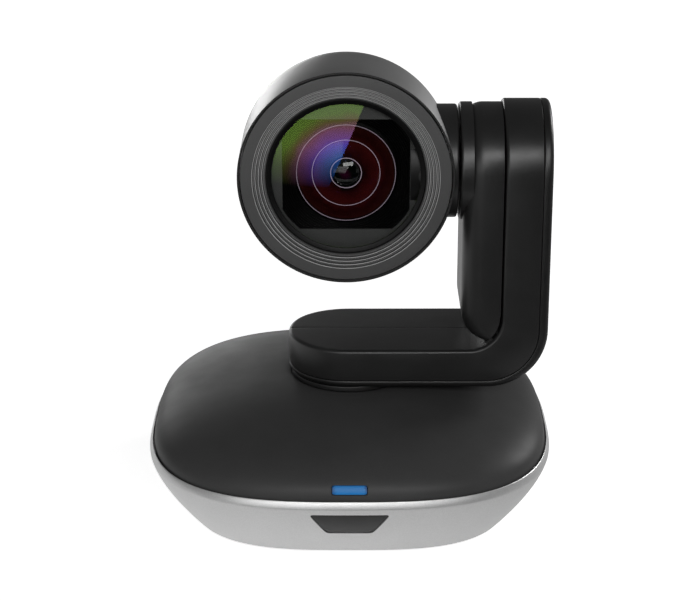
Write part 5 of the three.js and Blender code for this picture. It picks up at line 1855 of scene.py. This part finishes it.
@dataclass
class Studio:
    """Pale floor and backdrop, soft lights and the camera."""

    distance: float = 0.600
    height: float = 0.2867
    aside: float = 0.00013
    tilt: float = 69.72
    lens: float = 101.03
    sky_strength: float = 0.13
    sky_radius: float = 7.0
    card_y: float = -0.321

    def build(self) -> None:
        """Builds everything round the object."""
        self.camera()
        self.floor()
        self.world()
        self.lights()
        self.cards()

    def camera(self) -> None:
        """The camera, in front of the object and a little above it."""
        data = bpy.data.cameras.new("front_camera")
        data.lens = self.lens
        data.sensor_width = 36
        data.clip_start = 0.01
        data.clip_end = 50
        made = bpy.data.objects.new("front_camera", data)
        made.location = (self.aside, -self.distance, self.height)
        made.rotation_euler = (math.radians(self.tilt), 0, 0)
        bpy.context.scene.collection.objects.link(made)
        bpy.context.scene.camera = made
        bpy.context.scene.view_settings.view_transform = "Standard"

    def world(self) -> None:
        """A dim even sky."""
        world = bpy.data.worlds.new("dim_sky")
        world.use_nodes = True
        back = world.node_tree.nodes["Background"]
        back.inputs["Color"].default_value = (1, 1, 1, 1)
        back.inputs["Strength"].default_value = self.sky_strength
        bpy.context.scene.world = world

    @staticmethod
    def hide_from(made: bpy.types.Object, *rays: str) -> None:
        """Makes a piece of the studio unseen by some kinds of ray.

        Args:
            made: The piece.
            *rays: The kinds of ray.
        """
        for ray in rays:
            setattr(made, f"visible_{ray}", False)

    def floor(self) -> None:
        """A pale floor under a pale backdrop that only the camera sees."""
        middle = Vector((0, 0, 0))
        lathe = Lathe(Axis.PAN, middle, 96)
        radii = (0, 0.3, 1, 6)
        floor = lathe.turn("pale_floor", [(r, 0) for r in radii], False)
        floor.data.materials.append(self.floor_paint("pale_floor", 0.75))
        self.hide_from(floor, "diffuse", "glossy")
        bounce = lathe.turn("floor_bounce", [(r, -0.5 * MM) for r in radii], False)
        bounce.data.materials.append(self.floor_paint("floor_bounce", 0.75, True))
        self.hide_from(bounce, "camera")
        big = self.sky_radius
        turns = [t * math.pi for t in spread_steps(24)]
        sky = [(big * math.sin(a), -big * math.cos(a)) for a in turns]
        sky[0], sky[-1] = (0, -big), (0, big)
        backdrop = Lathe(Axis.PAN, middle, 48).turn("pale_backdrop", sky, False)
        backdrop.data.materials.append(Graph("pale_backdrop").glow((1, 1, 1), 1.0))
        self.hide_from(backdrop, "diffuse", "glossy", "transmission", "shadow")

    @staticmethod
    def floor_paint(name: str, glow: float, sided: bool = False) -> bpy.types.Material:
        """The floor's pale finish.

        Args:
            name: The material's name.
            glow: How much light it gives of its own.
            sided: Whether that light falls off towards the right.

        Returns:
            The material.
        """
        graph = Graph(name)
        across = graph.node("ShaderNodeSeparateXYZ", {}, {0: graph.place()})
        lean = graph.ramp(0.5 - across * 2.0, [(0.0, (0.30,) * 3), (1.0, (1.0,) * 3)])
        cloud = graph.spread(graph.noise(0.4, 2), 0.88, 0.92)
        return graph.surface(
            {
                "Base Color": graph.mix(cloud, (0.6, 0.6, 0.6), (0.8, 0.8, 0.8)),
                "Roughness": 0.9,
                "Emission Color": lean if sided else (1, 1, 1),
                "Emission Strength": glow,
                "Specular IOR Level": 0.1,
            }
        )

    @staticmethod
    def softbox(name: str, place: Vector, size: Point2, power: float) -> None:
        """A rectangular soft light that faces the head.

        Args:
            name: Its name.
            place: Where it hangs.
            size: Width and height in metres.
            power: Power in watts.
        """
        target = Vector((0, 0, 0.11))
        data = bpy.data.lights.new(name, "AREA")
        data.shape = "RECTANGLE"
        data.size, data.size_y = size
        data.energy = power
        made = bpy.data.objects.new(name, data)
        made.location = place
        made.rotation_euler = (target - place).to_track_quat("-Z", "Y").to_euler()
        made.visible_camera = False
        bpy.context.scene.collection.objects.link(made)

    def lights(self) -> None:
        """Softboxes in front, at the right and at the rear left."""
        self.softbox("front_box", Vector((0.15, -0.85, 0.50)), (0.75, 0.25), 4.6)
        self.softbox("right_box", Vector((0.75, 0.45, 0.42)), (0.3, 0.3), 3.6)
        self.softbox("rear_left_box", Vector((-0.33, 0.90, 0.15)), (0.5, 0.16), 1.1)

    def cards(self) -> None:
        """What the lens mirrors: a lit card with one slanted edge, black ones and a glint."""
        lit = [(-0.26, 0.0), (-0.0316, 0.0), (0.0516, 0.200), (-0.26, 0.200)]
        black = [(-0.032, -0.001), (0.30, -0.001), (0.30, 0.22), (0.0599, 0.22)]
        flat = Graph("black_card").surface(
            {"Base Color": shade(4), "Roughness": 1.0, "Specular IOR Level": 0.0}
        )
        white = Graph("glint_glow").glow((1, 1, 1), 14)
        self.card("lit_card", lit, self.card_y, self.fading_glow())
        self.card("black_card", black, self.card_y, flat)
        glint = rectangle((0.020, 0.150), (0.050, 0.172), 0)
        self.card("glint_card", glint, -0.300, white)
        near = -0.115
        table = [(-0.3, self.card_y), (0.3, self.card_y), (0.3, near), (-0.3, near)]
        made = prism("black_table", table, 0.5 * MM, 1 * MM, Axis.PAN)
        made.data.materials.append(flat)
        self.hide_from(made, "camera", "diffuse", "shadow")

    @staticmethod
    def fading_glow(
        strength: float = 1.7, dark: float = 0.004, full: float = 0.075
    ) -> bpy.types.Material:
        """A white glow that fades towards the table.

        Args:
            strength: Its full brightness.
            dark: The height where it is out.
            full: The height where it is full.

        Returns:
            The material.
        """
        graph = Graph("fading_glow")
        height = graph.node("ShaderNodeSeparateXYZ", {}, {0: graph.place()}, "Z")
        rise = (height - dark) / (full - dark)
        tint = graph.ramp(rise, [(0.0, (0.0,) * 3), (0.5, (0.35,) * 3), (1.0, (1.0,) * 3)])
        return graph.glow(tint, strength)

    @staticmethod
    def card(name: str, outline: list[Point2], y: float, material: bpy.types.Material) -> None:
        """An upright card that only reflections see.

        Args:
            name: Its name.
            outline: Its corners as (x, z).
            y: Its distance in front.
            material: Its material.
        """
        made = prism(name, outline, y - 0.5 * MM, y, Axis.LENS)
        made.data.materials.append(material)
        Studio.hide_from(made, "camera", "diffuse", "shadow")


# ---------------------------------------------------------------- assembly


FINISHES = {
    "silver": SILVER,
    "charcoal": CHARCOAL,
    "arm": ARM_BLACK,
    "cover": COVER_BLACK,
    "collar": COLLAR_BLACK,
    "cap": CAP_CHARCOAL,
    "faceplate": FACEPLATE,
    "gunmetal": GUNMETAL,
    "lens_black": LENS_BLACK,
    # Light grey for the bezel's step edges: a painted highlight.
    "step_edge": STEP_EDGE_PAINTED_HIGHLIGHT,
    # Dark grey for the barrel's front lip: painted shade.
    "lip": LIP_PAINTED_SHADE,
    # Grey for the baffle: its dark plastic, lightened as a painted reflection.
    "baffle": BAFFLE_DARK_WITH_PAINTED_REFLECTION,
    "port_black": PORT_BLACK,
    "window": WINDOW_BLACK,
    "lamp": LampLens(),
    "rubber": SoftRubber(),
    "steel": STEEL,
    # Pale glow for the lens element rims: a painted highlight.
    "rim": ELEMENT_RIM_PAINTED_HIGHLIGHT,
    "brass": BRASS,
    "board": CircuitBoard(),
    "resin": RESIN,
    "flex": FLEX,
}


def main() -> None:
    """Builds the studio and the object."""
    logging.basicConfig(level=logging.INFO, format="%(message)s")
    paint = {name: finish.material() for name, finish in FINISHES.items()}
    Studio().build()
    CarriedNodes().build(paint)
    for unit in (BaseUnit(), ArmUnit(), HeadUnit()):
        unit.build(paint)
        LOG.info("%s is built", type(unit).__name__)


if __name__ == "__main__":
    main()
